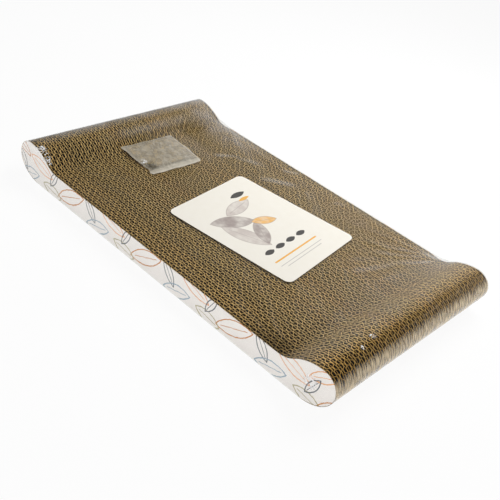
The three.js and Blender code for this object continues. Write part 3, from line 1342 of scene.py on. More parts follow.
@dataclass
class BoardBlock:
    """Stack of double-wall plies on edge, each with three liners, a fine flute and a coarse flute."""

    outline: SideOutline
    finish: Material
    tone: BoardTone = BoardTone()
    plies: int = 42
    pitch: float = 5.95
    liner: float = 0.24
    inner_liner: float = 0.34
    liner_steps: tuple[Pair, ...] = ((140.0, 3.6), (212.0, 1.8), (math.inf, 0.7))
    liner_wave: float = 0.05
    fine_paper: float = 0.4
    coarse_paper: float = 0.47
    fine_height: float = 2.09
    coarse_height: float = 3.02
    fine_pitch: float = 6.4
    coarse_pitch: float = 7.9
    pitch_spread: Pair = (0.985, 1.015)
    wave_marks: tuple[int, ...] = (12, 40, 90, 140, 168, 192, 220, 270, 320, 348)
    wave_round: float = 0.3
    wander: float = 0.6
    wander_size: float = 23.0
    bite: float = 0.03
    end: float = 220.85
    tip: float = 1.2
    saw: float = 0.14
    ragged: float = 0.1
    top_gap: float = 0.1
    foot_gap: float = 0.02
    least: float = 1.0
    dent: float = 0.4
    dent_size: float = 31.0
    dent_foot: float = 0.4
    slack: float = 3.0
    slack_reach: float = 50.0
    parting: float = 0.75
    parting_y: float = 17.85
    parting_x: Pair = (150.0, 178.0)
    parting_reach: float = 9.0
    map_margin: float = 0.08
    seed: int = 7021

    def build(self) -> None:
        """Builds every ply."""
        for number in range(self.plies):
            self._ply(number)

    def _ply(self, number: int) -> None:
        """Builds one ply from its five papers.

        Args:
            number: The ply's number, from 0 at the front.
        """
        chance = random.Random(self.seed + number)
        middle = (number - (self.plies - 1) / 2) * self.pitch
        shape = bmesh.new()
        shape.loops.layers.uv.new(BOARD_MAP)
        layers = (
            (self.liner, None, None), (self.fine_height, self.fine_pitch, self.fine_paper),
            (self.inner_liner, None, None), (self.coarse_height, self.coarse_pitch, self.coarse_paper),
            (self.liner, None, None),
        )
        y = middle - sum(height for height, _, _ in layers) / 2
        for height, pitch, paper in layers:
            if paper is None:
                self._liner(shape, y + height / 2, height, chance)
            else:
                line = self._wave(y + height / 2, height - paper, pitch, chance)
                self._paper(shape, line, paper, chance)
            y += height
        self._map(shape)
        self.tone.dress(shape, chance)
        label = f"{number + 1:02d}"
        Piece(f"board_ply_{label}", shape, self.finish, Slot.BOARD, (f"ply_{label}",)).place()

    def _liner(self, shape: Shape, y: float, thickness: float, chance: random.Random) -> None:
        """Adds a flat liner, with the slight waves that its flutes pull into it.

        Args:
            shape: The ply's mesh.
            y: Middle of the liner.
            thickness: The liner's thickness.
            chance: The ply's random draws.
        """
        phase = chance.uniform(0, math.tau)
        places = stations(self.end, self.liner_steps)
        line = [(x, y + self.liner_wave * math.sin(x * 0.8 + phase)) for x in places]
        self._paper(shape, line, thickness, chance)

    def _wave(self, y: float, swing: float, pitch: float, chance: random.Random) -> Line:
        """Draws a fluted paper's line between two liners.

        Args:
            y: Middle of the line.
            swing: Height from its lows to its highs.
            pitch: Length of one flute.
            chance: The ply's random draws.

        Returns:
            The line's points, as (x, y).
        """
        pitch *= chance.uniform(*self.pitch_spread)
        start, draw = chance.random(), chance.uniform(0, 400)
        line = []
        for turn in range(-1, math.ceil(2 * self.end / pitch) + 1):
            for mark in self.wave_marks:
                x = -self.end + pitch * (turn + start + mark / 360)
                x += self.wander * ripple(x / self.wander_size, draw, 0)
                rise, run = math.sin(math.radians(mark)), math.cos(math.radians(mark))
                level = rise / math.hypot(rise, self.wave_round * run)
                line.append((x, y + (swing / 2 + self.bite) * level))
        return [(x, at) for x, at in line if abs(x) < self.end]

    def _paper(self, shape: Shape, line: Line, thickness: float, chance: random.Random) -> None:
        """Raises a paper from a line across the bed to the sawn outline, and gives it its thickness.

        Args:
            shape: The ply's mesh.
            line: Points of the paper's line, as (x, y).
            thickness: The paper's thickness.
            chance: The ply's random draws.
        """
        ragged = [chance.uniform(-self.ragged, self.ragged) for _ in line]

        def point(column: int, row: int) -> Vector:
            """Places one point of the paper.

            Args:
                column: Number of the point along the line.
                row: 0 at the paper's foot and 1 at its top.

            Returns:
                The point.
            """
            x, y = line[column]
            y += self._shift(x, y, row)
            foot = self.outline.foot(x)
            if row == 0:
                return Vector((x, y, foot + self.foot_gap))
            saw = self.saw * ripple(x * 0.21, y * 0.34, 3.0)
            top = self.outline.top(x) - self.top_gap + saw + ragged[column]
            return Vector((x, y, max(top, foot + self.least)))

        faces = add_grid(shape, len(line) - 1, 1, point)
        points = {corner for face in faces for corner in face.verts}
        shape.normal_update()
        for corner in points:
            flat = Vector((corner.normal.x, corner.normal.y, 0)).normalized()
            corner.co -= flat * (thickness / 2)
        bmesh.ops.solidify(shape, geom=faces, thickness=-thickness)

    def _shift(self, x: float, y: float, row: int) -> float:
        """Gives how far a paper leans: looser plies in front, soft dents and a parted pair.

        Args:
            x: Place along the bed.
            y: Place across the bed.
            row: 0 at the paper's foot and 1 at its top.

        Returns:
            The change of y.
        """
        half = self.outline.half_width
        settled = 1 - math.exp(-max(y + half, 0.0) / self.slack_reach)
        loose = self.slack * settled * (half - y) / (2 * half)
        dent = self.dent * ripple(x / self.dent_size, y / self.dent_size, 1.7)
        dent *= 1.0 if row else self.dent_foot
        gap = y - self.parting_y
        near = smooth_step(-x, *self.parting_x) * math.exp(-abs(gap) / self.parting_reach) * row
        return loose + dent + math.copysign(self.parting * near, gap) + self.outline.drawn(x, y)

    def _map(self, shape: Shape) -> None:
        """Lays the papers' faces and their sawn edges on the board's map.

        Args:
            shape: The ply's mesh.
        """
        bmesh.ops.recalc_face_normals(shape, faces=shape.faces[:])
        layer = shape.loops.layers.uv[BOARD_MAP]
        for face in shape.faces:
            middle = face.calc_center_median()
            scatter = (middle.x * 1.3 + middle.y * 7.1) / 40 % 1.0
            across = self.map_margin + (1 - 2 * self.map_margin) * scatter
            if self._sawn(face):
                longest = max(face.edges, key=lambda edge: edge.calc_length())
                along = (longest.verts[1].co - longest.verts[0].co).normalized()
                over = face.normal.cross(along)
                for loop in face.loops:
                    away = loop.vert.co - middle
                    u = min(max(across + away.dot(along) / BOARD_TILE, 0.0), 1.0)
                    loop[layer].uv = (u, BOARD_CUT_BAND + away.dot(over) / BOARD_TILE)
            else:
                along = Vector((-face.normal.y, face.normal.x, 0)).normalized()
                for loop in face.loops:
                    away = loop.vert.co - middle
                    # V on the papers' faces is their depth below the cut, which the painted shade in the
                    # cells reads.
                    depth = max(self.outline.top(loop.vert.co.x) - loop.vert.co.z, 0.0)
                    u = across + away.dot(along) / BOARD_TILE
                    loop[layer].uv = (u, BOARD_DEPTH_SCALE * depth / BOARD_TILE)

    def _sawn(self, face: bmesh.types.BMFace) -> bool:
        """Tells a sawn edge, which lies along the outline's top, foot or ends, from a paper's face.

        Args:
            face: The face to judge.

        Returns:
            Whether it is a sawn edge.
        """
        middle = [(self.outline.top(at.co.x) + self.outline.foot(at.co.x)) / 2 for at in face.verts]
        upper = {at.co.z > height for at, height in zip(face.verts, middle)}
        at_tip = all(abs(at.co.x) > self.end - self.tip for at in face.verts)
        return len(upper) == 1 or (at_tip and abs(face.normal.x) > 0.9)


@dataclass
class SidePapers:
    """Printed papers on the two long sides of the board."""

    outline: SideOutline
    effects: SharedEffects
    middle: float = 125.25
    thickness: float = 0.36
    end: float = 220.95
    steps: tuple[Pair, ...] = ((140.0, 3.0), (208.0, 1.5), (math.inf, 0.6))
    rows: int = 4
    wave: float = 0.05
    front_shift: float = 11.0
    back_shift: float = 37.0

    def build(self) -> None:
        """Builds both papers."""
        for side, shift in ((Side.FRONT, self.front_shift), (Side.BACK, self.back_shift)):
            name = side.name.lower()
            finish = SidePaperFinish(f"side_paper_{name}_leaves", shift).material(self.effects)
            shape = self._paper(side)
            Piece(f"side_paper_{name}", shape, finish, Slot.PRINT, (f"printed_paper_{name}",)).place()

    def _paper(self, side: Side) -> Shape:
        """Raises one paper along the outline, with the board's faint waves in it.

        Args:
            side: The side that it is on.

        Returns:
            The paper.
        """
        places = stations(self.end, self.steps)
        shape = bmesh.new()

        def point(column: int, row: int) -> Vector:
            """Places one point of the paper.

            Args:
                column: Number of the point along the paper.
                row: Number of the point up from its foot.

            Returns:
                The point.
            """
            x = places[column]
            low, high = self.outline.foot(x), self.outline.top(x)
            z = low + (high - low) * row / self.rows
            y = side.value * self.middle
            wave = self.wave * ripple(x / 6, z / 9, side.value)
            return Vector((x, y + self.outline.drawn(x, y) + wave, z))

        add_grid(shape, len(places) - 1, self.rows, point)
        thicken(shape, self.thickness)
        return shape


@dataclass(frozen=True)
class Fold:
    """One tension fold of the film, from a corner towards the bed."""

    corner: Vector
    angle: float
    height: float
    reach: float
    width: float
    widening: float = 0.02
    sway: float = 3.0
    sway_run: float = 30.0
    start: float = 14.0

    def rise(self, x: float, y: float) -> float:
        """Gives the fold's height at a place.

        Args:
            x: Place along the bed.
            y: Place across the bed.

        Returns:
            The height.
        """
        away = Vector((x, y)) - self.corner
        along = away.x * math.cos(self.angle) + away.y * math.sin(self.angle)
        if not 0 < along < 2.5 * self.reach:
            return 0.0
        beside = away.y * math.cos(self.angle) - away.x * math.sin(self.angle)
        beside += self.sway * ripple(along / self.sway_run, self.angle * 9, 0)
        width = self.width + along * self.widening
        if abs(beside) > 3 * width:
            return 0.0
        fade = math.exp(-along / self.reach) * smooth_step(along, 0, self.start)
        return self.height * fade * bell(beside, 0.0, width)


@dataclass
class ShrinkFilm:
    """Clear film round the block: an upper and a lower sheet that meet in a seam."""

    outline: SideOutline
    finish: Material
    outset: float = 0.42
    thickness: float = 0.1
    inside_width: float = 251.5
    half_width: float = 125.88
    hollow: float = 60.0
    span: float = 240.0
    gap: float = 0.3
    lift: float = 0.6
    seam: float = 12.5
    seam_gap: float = 0.3
    rows: int = 104
    wall_rows: int = 10
    nose_steps: int = 16
    lobe_steps: int = 22
    bed_steps: int = 60
    bend_steps: int = 20
    foot_steps: int = 40
    sachet: SheetPlace = SACHET_PLACE
    sachet_stack: float = 4.3
    tent_reach: float = 26.0
    label: SheetPlace = LABEL_PLACE
    label_calm: Pair = (1.1, 1.35)
    edge_calm: Pair = (116.0, 125.5)
    wave: float = 0.12
    wave_size: float = 24.0
    pucker: float = 0.35
    pucker_x: Pair = (150.0, 205.0)
    wall_wave: float = 0.12
    wall_in: float = 0.05
    wall_normal: float = 0.6
    merge: float = 0.004
    sliver: float = 0.002
    corner_folds: int = 6
    fold_x: Pair = (150.0, 172.0)
    fold_y: Pair = (118.0, 125.0)
    fold_first: float = -38.0
    fold_step: float = 15.0
    fold_stray: float = 5.0
    fold_height: Pair = (0.35, 0.85)
    fold_front: float = 0.7
    fold_reach: Pair = (45.0, 120.0)
    fold_width: Pair = (1.6, 3.2)
    seed: int = 411
    folds: list[Fold] = field(default_factory=list)

    def __post_init__(self) -> None:
        """Draws the tension folds at the four corners where the film spans the hollows."""
        chance = random.Random(self.seed)
        for end in (-1, 1):
            for side in (-1, 1):
                self._corner_folds(end, side, chance)

    def _corner_folds(self, end: int, side: int, chance: random.Random) -> None:
        """Draws the folds that fan out from one corner of the bed.

        Args:
            end: Sign of the corner's X.
            side: Sign of the corner's Y.
            chance: The film's random draws.
        """
        inward = math.atan2(-side, -end)
        share = 1.0 if side > 0 else self.fold_front
        for number in range(self.corner_folds):
            corner = Vector((end * chance.uniform(*self.fold_x), side * chance.uniform(*self.fold_y)))
            stray = chance.uniform(-self.fold_stray, self.fold_stray)
            angle = inward + math.radians(self.fold_first + self.fold_step * number + stray)
            height = chance.uniform(*self.fold_height) * share
            reach, width = chance.uniform(*self.fold_reach), chance.uniform(*self.fold_width)
            self.folds.append(Fold(corner, angle, height, reach, width))

    def rise(self, x: float, y: float) -> float:
        """Gives how far the film stands off its line along the long edges.

        Args:
            x: Place along the bed.
            y: Place across the bed.

        Returns:
            The height above that line.
        """
        bed = self.outline.bed + self.gap
        across = max(1 - (2 * y / self.inside_width) ** 4, 0.0)
        edge = self.outline.inner(x, self.gap, self.hollow, bed)
        span = self.outline.inner(x, self.gap, self.span, bed + self.lift)
        dx = (x - self.sachet.x) / (self.sachet.length / 2 + self.tent_reach)
        dy = (y - self.sachet.y) / (self.sachet.width / 2 + self.tent_reach)
        tent = self.sachet_stack * max(1 - dx * dx, 0) ** 2 * max(1 - dy * dy, 0) ** 2
        return across * (max(span - edge, 0.0) + tent) + self._crease(x, y)

    def _crease(self, x: float, y: float) -> float:
        """Gives the height of folds and soft waves, calmer under the label and along the edges.

        Args:
            x: Place along the bed.
            y: Place across the bed.

        Returns:
            The height.
        """
        beyond = 2 * abs(x - self.label.x) / self.label.length
        beside = 2 * abs(y - self.label.y) / self.label.width
        free = 1 - smooth_step(abs(y), *self.edge_calm)
        free *= smooth_step(max(beyond, beside), *self.label_calm)
        height = self.wave * (0.5 + 0.5 * ripple(x / self.wave_size, y / self.wave_size, 5.0))
        for fold in self.folds:
            height += fold.rise(x, y)
        return height * free

    def _upper_line(self) -> Line:
        """Gives the right half of the film's upper line, from the nose's tip to the middle of the bed.

        Returns:
            The points as (x, z), with Z from the plies' foot.
        """
        out, shape = self.outset, self.outline
        bed = shape.bed + out
        lobe, _, low, _ = shape.curve(out, self.hollow, bed)
        nose = shape.nose_top + out
        turns = [math.radians(90 * k / self.nose_steps) for k in range(self.nose_steps + 1)]
        line = [(shape.crest + nose * math.cos(a), shape.tip + nose * math.sin(a)) for a in turns]
        run = low.x - lobe.x
        down = [lobe.x + run * k / self.lobe_steps for k in range(1, self.lobe_steps + 1)]
        line += [(x, shape.inner(x, out, self.hollow, bed)) for x in down]
        line += [(low.x * (1 - k / self.bed_steps), bed) for k in range(1, self.bed_steps)]
        return line

    def _seam_x(self, height: float) -> float:
        """Gives X where the film's lower nose has a height.

        Args:
            height: The height above the plies' foot.

        Returns:
            X at the right end.
        """
        rise = (self.outline.tip - height) / (self.outline.tip + self.outset)
        reach = (self.outline.nose_run + self.outset) * math.sqrt(1 - rise**2)
        return self.outline.half_length - self.outline.nose_run + reach

    def _low(self, x: float) -> float:
        """Gives the film's lower line at x, from the floor."""
        return self.outline.foot(x, self.outset)

    def build(self) -> None:
        """Builds both sheets."""
        for name, shape in (("upper", self._upper()), ("lower", self._lower())):
            node = f"wrap_film_{name}"
            Piece(f"shrink_film_{name}", shape, self.finish, Slot.WRAP, (node,), smooth=True).place()

    def _across(self, row: int) -> float:
        """Gives Y of a row of points across the block."""
        return self.half_width * (2 * row / self.rows - 1)

    def _upper(self) -> Shape:
        """Makes the upper sheet: over the lobes and the bed, and down both sides to the seam.

        Returns:
            The sheet.
        """
        base = self.outline.base
        seam = self.seam + self.seam_gap / 2
        edge = self._seam_x(seam - base)
        right = self._upper_line()
        beyond = [x for x, _ in right if x > edge]
        top = [(x, base + z) for x, z in right]
        spot = next(k for k, (x, _) in enumerate(top) if x < edge)
        nose = self.outline.nose_top + self.outset
        cut = base + self.outline.tip + math.sqrt(nose**2 - (edge - self.outline.crest) ** 2)
        top.insert(spot, (edge, cut))
        under = [(edge, seam)] + [(x, self._low(x)) for x in reversed(beyond[1:])]
        line = mirrored(under + top)
        shape = bmesh.new()

        def over(column: int, row: int) -> Vector:
            """Places one point of the sheet over the block.

            Args:
                column: Number of the point along the line.
                row: Number of the point across the block.

            Returns:
                The point.
            """
            x, z = line[column]
            y = self._across(row)
            if abs(x) < self.outline.crest and z > base + self.outline.bed:
                z += self.rise(x, y)
            return Vector((x, y + self.outline.drawn(x, y), z))

        def low(x: float) -> float:
            """Gives the sheet's lower edge at x."""
            return seam if abs(x) <= edge + 1e-6 else self._low(x)

        add_grid(shape, len(line) - 1, self.rows, over)
        for side in Side:
            self._wall(shape, mirrored(top), side, low)
        return self._finish(shape)

    def _lower(self) -> Shape:
        """Makes the lower sheet: up both noses and both sides to the seam.

        Returns:
            The sheet.
        """
        seam = self.seam - self.seam_gap / 2
        edge = self._seam_x(seam - self.outline.base)
        start = self.outline.half_length - self.outline.nose_run
        bend = [edge + (start - edge) * (k / self.bend_steps) for k in range(self.bend_steps + 1)]
        flat = [start * (1 - k / self.foot_steps) for k in range(1, self.foot_steps)]
        line = mirrored([(x, self._low(x)) for x in bend + flat])
        shape = bmesh.new()

        def under(column: int, row: int) -> Vector:
            """Places one point of the sheet under the block.

            Args:
                column: Number of the point along the line.
                row: Number of the point across the block.

            Returns:
                The point.
            """
            x, z = line[column]
            y = self._across(row)
            return Vector((x, y + self.outline.drawn(x, y), z))

        add_grid(shape, len(line) - 1, self.rows, under)
        for side in Side:
            self._wall(shape, [(x, seam) for x, _ in line], side, self._low)
        return self._finish(shape)

    def _wall(self, shape: Shape, crown: Line, side: Side, low: Callable[[float], float]) -> None:
        """Adds the film's wall on one long side.

        Args:
            shape: The sheet's mesh.
            crown: Upper line of the wall, as (x, z).
            side: The side that it stands on.
            low: Gives the wall's lower line at x.
        """
        def point(column: int, row: int) -> Vector:
            """Places one point of the wall.

            Args:
                column: Number of the point along the crown.
                row: Number of the point up from the wall's foot.

            Returns:
                The point.
            """
            x, high = crown[column]
            share = row / self.wall_rows
            z = low(x) + (high - low(x)) * share
            inside = math.sin(math.pi * share)
            end = smooth_step(abs(x), *self.pucker_x)
            pucker = ripple(x / 5, z / 22, 2.0 + side.value) * self.pucker * end
            wave = self.wall_wave * ripple(x / 30, z / 14, 7.0)
            y = side.value * self.half_width
            out = side.value * inside * max(pucker + wave, -self.wall_in)
            return Vector((x, y + self.outline.drawn(x, y) + out, z))

        add_grid(shape, len(crown) - 1, self.wall_rows, point)

    def _finish(self, shape: Shape) -> Shape:
        """Closes the sheet's edges, gives it its thickness and marks its side walls.

        Args:
            shape: The sheet's mesh.

        Returns:
            The same mesh.
        """
        bmesh.ops.remove_doubles(shape, verts=shape.verts[:], dist=self.merge)
        bmesh.ops.dissolve_degenerate(shape, edges=shape.edges[:], dist=self.sliver)
        thicken(shape, self.thickness)
        shape.normal_update()
        layer = shape.faces.layers.float.new(WALL)
        for face in shape.faces:
            face[layer] = float(abs(face.normal.y) > self.wall_normal)
        return shape


@dataclass
class PaperLabel:
    """Label with rounded corners, stuck on the film."""

    effects: SharedEffects
    spot: SheetPlace = LABEL_PLACE
    corner: float = 7.0
    thickness: float = 0.26
    height: float = 26.98
    step: float = 5.0
    wave: float = 0.1
    wave_size: float = 35.0
    lift: float = 0.35

    def build(self) -> None:
        """Builds the label."""
        finish = LabelFinish((self.spot.x, self.spot.y, 0.0), self.spot.turn).material(self.effects)
        shape = rounded_sheet(self.spot.length, self.spot.width, self.corner, self.step)
        for point in shape.verts:
            point.co.z = self._curl(point.co.x, point.co.y)
        thicken(shape, self.thickness)
        middle = Matrix.Translation((self.spot.x, self.spot.y, self.height))
        place = middle @ Matrix.Rotation(self.spot.turn, 4, "Z")
        bmesh.ops.transform(shape, matrix=place, verts=shape.verts)
        Piece("leaf_label", shape, finish, Slot.LABEL, ("label",), smooth=True).place()

    def _curl(self, x: float, y: float) -> float:
        """Gives the label's soft waves and the lift of its corners.

        Args:
            x: Place along the label.
            y: Place across the label.

        Returns:
            The height.
        """
        u, v = abs(2 * x / self.spot.length), abs(2 * y / self.spot.width)
        wave = self.wave * ripple(x / self.wave_size, y / self.wave_size, 0.4)
        return wave * (1 - 0.5 * max(u, v)) + self.lift * (u * v) ** 4


@dataclass
class CatnipSachet:
    """Press-seal bag of dried catnip, in its own frame: X from -length at its end to 0 at its mouth."""

    outline: SideOutline
    effects: SharedEffects
    spot: SheetPlace = SACHET_PLACE
    corner: float = 3.0
    film: float = 0.1
    film_step: float = 1.3
    bulge: float = 2.4
    back_rise: float = 0.4
    front_rise: float = 1.1
    seal: float = 0.22
    rim: float = 0.12
    crumple: float = 0.8
    mouth_wave: float = 1.1
    mouth_drop: float = 0.9
    side_wave: float = 0.045
    side_dent: float = 0.07
    side_dent_at: Pair = (-9.0, 5.0)
    zip_at: float = -8.0
    zip_short: float = 16.0
    rib_off: float = 1.1
    rib_reach: float = 0.55
    rib_rise: float = 0.28
    haze: float = 0.1
    haze_lip: float = 0.34
    haze_lip_x: Pair = (-6.6, -5.4)
    haze_rim: float = 0.2
    haze_rim_in: Pair = (0.03, 0.1)
    clear: float = 0.3
    clear_x: Pair = (-13.0, 7.0)
    clear_y: Pair = (8.0, 8.0)
    bare_x: Pair = (-11.0, 7.0)
    bare_y: Pair = (5.0, 8.0)
    bare_from: float = 0.25
    herb_rise: float = 0.65
    herb_corner: float = 8.0
    herb_margin: float = 3.2
    herb_mouth: float = 2.6
    herb_step: float = 1.1
    herb_skin: float = 0.25
    flakes: int = 760
    flake_to: float = 0.2
    flake_lift: float = 0.18
    seed: int = 90

    @property
    def length(self) -> float:
        """The bag's length, from its far end to its mouth."""
        return self.spot.length

    @property
    def width(self) -> float:
        """The bag's width."""
        return self.spot.width

    def frame(self) -> Matrix:
        """Gives the bag's place: on the bed, tilted against the lobe.

        Returns:
            The move from the bag's own frame to the part's.
        """
        mouth = self.spot.x + self.length / 2
        swing = self.width / 2 * abs(math.sin(self.spot.turn))
        far = mouth - self.length * math.cos(self.spot.turn) - swing
        rise = self.outline.top(far) - self.outline.base - self.outline.bed
        place = Matrix.Translation((mouth, self.spot.y, self.outline.base + self.outline.bed))
        tilt = Matrix.Rotation(math.asin(rise / self.length), 4, "Y")
        return place @ Matrix.Rotation(self.spot.turn, 4, "Z") @ tilt

    def build(self) -> None:
        """Builds the bag's films, its zip and its filling."""
        clear = BagFinish("sachet_bag_film").material(self.effects)
        strip = BagFinish("sachet_zip_rib", srgb(214, 213, 208), share=0.45, creased=0.1)
        rib = strip.material(self.effects)
        herb = HerbFinish().material()
        self._film(Side.BACK, clear, self._back)
        self._film(Side.FRONT, clear, self._front)
        self._zip(rib)
        self._herb(herb)

    def _settle(self, shape: Shape) -> Shape:
        """Moves a shape from the bag's frame to its place on the bed."""
        bmesh.ops.transform(shape, matrix=self.frame(), verts=shape.verts)
        return shape

    def _inside(self, x: float, y: float) -> Pair:
        """Gives a place as shares of half the bag's length and width."""
        return (2 * x + self.length) / self.length, 2 * y / self.width

    def _back(self, x: float, y: float) -> float:
        """Gives the back film's height."""
        return self.back_rise + 0.06 * (1 + ripple(x / 7, y / 7, 0))

    def _front(self, x: float, y: float) -> float:
        """Gives the front film's height: sealed rims, a crumpled swell and the zip's two ribs.

        Args:
            x: Place along the bag.
            y: Place across the bag.

        Returns:
            The height in the bag's frame.
        """
        u, v = self._inside(x, y)
        swell = max(1 - u * u, 0) * max(1 - v * v, 0)
        rim = smooth_step(min(1 - abs(u), 1 - abs(v)), 0.0, self.rim)
        crumple = 0.5 * ripple(x / 9, y / 9, 4.0) + 0.25 * ripple(x / 4, y / 4, 8.0)
        crumple += 0.9 * max(0.0, 0.4 - 4 * abs(ripple(x / 16, y / 11, 12.0)))
        ribs = sum(bell(x - self.zip_at, off, self.rib_reach) for off in (-self.rib_off, self.rib_off))
        height = self.back_rise + self.seal + (self.front_rise - self.back_rise - self.seal) * rim
        return height + self.bulge * swell + crumple * rim * self.crumple + self.rib_rise * ribs * rim

    def _corner(self, x: float, y: float, along: Pair, across: Pair) -> float:
        """Gives 1 at a spot by the corner at the mouth's near end, falling to 0 round it.

        Args:
            x: Place along the bag.
            y: Place across the bag.
            along: X of the spot and its reach.
            across: How far the spot is from the bag's near edge, and its reach.

        Returns:
            A share from 0 to 1.
        """
        return bell(x, *along) * bell(y + self.width / 2, *across)

    def _haze(self, x: float, y: float) -> float:
        """Gives the front film's cloudiness: a pale lip past the zip, sealed rims and one clearer corner.

        Args:
            x: Place along the bag.
            y: Place across the bag.

        Returns:
            The share of cloud to add.
        """
        u, v = self._inside(x, y)
        lip = smooth_step(x, *self.haze_lip_x)
        rim = 1 - smooth_step(min(1 - abs(u), 1 - abs(v)), *self.haze_rim_in)
        clear = self._corner(x, y, self.clear_x, self.clear_y)
        return self.haze + self.haze_lip * lip + self.haze_rim * rim - self.clear * clear

    def _film(self, side: Side, finish: Material, height: Callable[[float, float], float]) -> None:
        """Builds one film of the bag.

        Args:
            side: Which film it is.
            finish: Its material.
            height: Gives its height at a place in the bag's frame.
        """
        shape = rounded_sheet(self.length, self.width, self.corner, self.film_step)
        bmesh.ops.translate(shape, vec=Vector((-self.length / 2, 0, 0)), verts=shape.verts)
        for point in shape.verts:
            x, y = point.co.x, point.co.y
            point.co.z = height(x, y)
            wave = self.mouth_wave * ripple(0.0, y / 13, 3.0)
            point.co.x += wave - self.mouth_drop * (2 * y / self.width) ** 4
            dent = bell(x, *self.side_dent_at) * smooth_step(-2 * y / self.width, 0.7, 1.0)
            point.co.y *= 1 + self.side_wave * ripple(x / 12, y / 60, 6.0) - self.side_dent * dent
        thicken(shape, self.film)
        if side is Side.FRONT:
            layer = shape.verts.layers.float.new(HAZE)
            for point in shape.verts:
                point[layer] = self._haze(point.co.x, point.co.y)
        name, bag = side.name.lower(), self._settle(shape)
        node = f"sachet_{name}_film"
        Piece(f"sachet_bag_{name}", bag, finish, Slot.SACHET, (node,), smooth=True).place()

    def _zip(self, finish: Material) -> None:
        """Builds the zip: two ribs on a thin strip.

        Args:
            finish: Its material.
        """
        shape = bmesh.new()
        strip = (0.0, 3.4, 0.12, 0.62)
        ribs = [(off, 0.5, 0.34, 0.72) for off in (-self.rib_off, self.rib_off)]
        for x, width, height, low in (strip, *ribs):
            made = bmesh.ops.create_cube(shape, size=1.0)
            size = Vector((width, self.width - self.zip_short, height))
            bmesh.ops.scale(shape, vec=size, verts=made["verts"])
            at = Vector((self.zip_at + x, 0, low + height / 2))
            bmesh.ops.translate(shape, vec=at, verts=made["verts"])
            edges = list({edge for point in made["verts"] for edge in point.link_edges})
            bmesh.ops.bevel(
                shape, geom=edges, offset=height * 0.3, offset_type="OFFSET", affect="EDGES", segments=2,
                profile=0.5, material=-1,
            )
        Piece("sachet_zip_strip", self._settle(shape), finish, Slot.SACHET, ("sachet_zip",)).place()

    def _herb(self, finish: Material) -> None:
        """Builds the filling: a lumpy bed of crumbs that fills the bag, with loose flakes on it.

        Args:
            finish: Its material.
        """
        chance = random.Random(self.seed)
        mouth = self.zip_at - self.herb_mouth
        length, width = self.length + mouth - self.herb_margin, self.width - 2 * self.herb_margin
        shape = rounded_sheet(length, width, self.herb_corner, self.herb_step)
        bmesh.ops.translate(shape, vec=Vector((mouth - length / 2, 0, 0)), verts=shape.verts)
        for point in shape.verts:
            point.co.z = self.herb_rise + self._fill(point.co.x, point.co.y)
        middles = {face: face.calc_center_median() for face in shape.faces}
        bare = [face for face, at in middles.items() if self._bare(at.x, at.y) > self.bare_from]
        bmesh.ops.delete(shape, geom=bare, context="FACES")
        thicken(shape, self.herb_skin)
        for _ in range(self.flakes):
            x = mouth - length * chance.uniform(0.02, 0.98)
            y = width * chance.uniform(-0.49, 0.49)
            if self._bare(x, y) < self.flake_to:
                self._flake(shape, x, y, chance)
        Piece("catnip_crumbs", self._settle(shape), finish, Slot.HERB, ("catnip",)).place()

    def _bare(self, x: float, y: float) -> float:
        """Gives 1 at the corner by the mouth that the crumbs have slid out of, falling to 0 round it."""
        return self._corner(x, y, self.bare_x, self.bare_y)

    def _fill(self, x: float, y: float) -> float:
        """Gives the height of the crumbs under the front film.

        Args:
            x: Place along the bag.
            y: Place across the bag.

        Returns:
            The height above the filling's foot.
        """
        room = max(self._front(x, y) - self.herb_rise - 0.5, 0.0)
        lumps = 0.62 + 0.38 * ripple(x / 3.5, y / 3.5, 2.0)
        return 0.1 + room * lumps

    def _flake(self, shape: Shape, x: float, y: float, chance: random.Random) -> None:
        """Adds one loose flake inside the bag.

        Args:
            shape: The filling's mesh.
            x: Place along the bag.
            y: Place across the bag.
            chance: Random draws.
        """
        made = bmesh.ops.create_icosphere(shape, subdivisions=1, radius=1.0)["verts"]
        long = chance.uniform(0.5, 1.6)
        size = (long, long * chance.uniform(0.3, 0.8), chance.uniform(0.08, 0.15), 1.0)
        lean = Matrix.Rotation(chance.uniform(-0.2, 0.2), 4, "X")
        turn = Matrix.Rotation(chance.uniform(0, math.tau), 4, "Z") @ lean
        place = Matrix.Translation((x, y, self.herb_rise + self._fill(x, y) + self.flake_lift))
        bmesh.ops.transform(shape, matrix=place @ turn @ Matrix.Diagonal(size), verts=made)


# Stage


@dataclass(frozen=True)
class Lamp:
    """Soft rectangular lamp, in metres and watts."""

    name: str
    place: tuple[float, float, float]
    aim: tuple[float, float, float]
    size: tuple[float, float]
    power: float


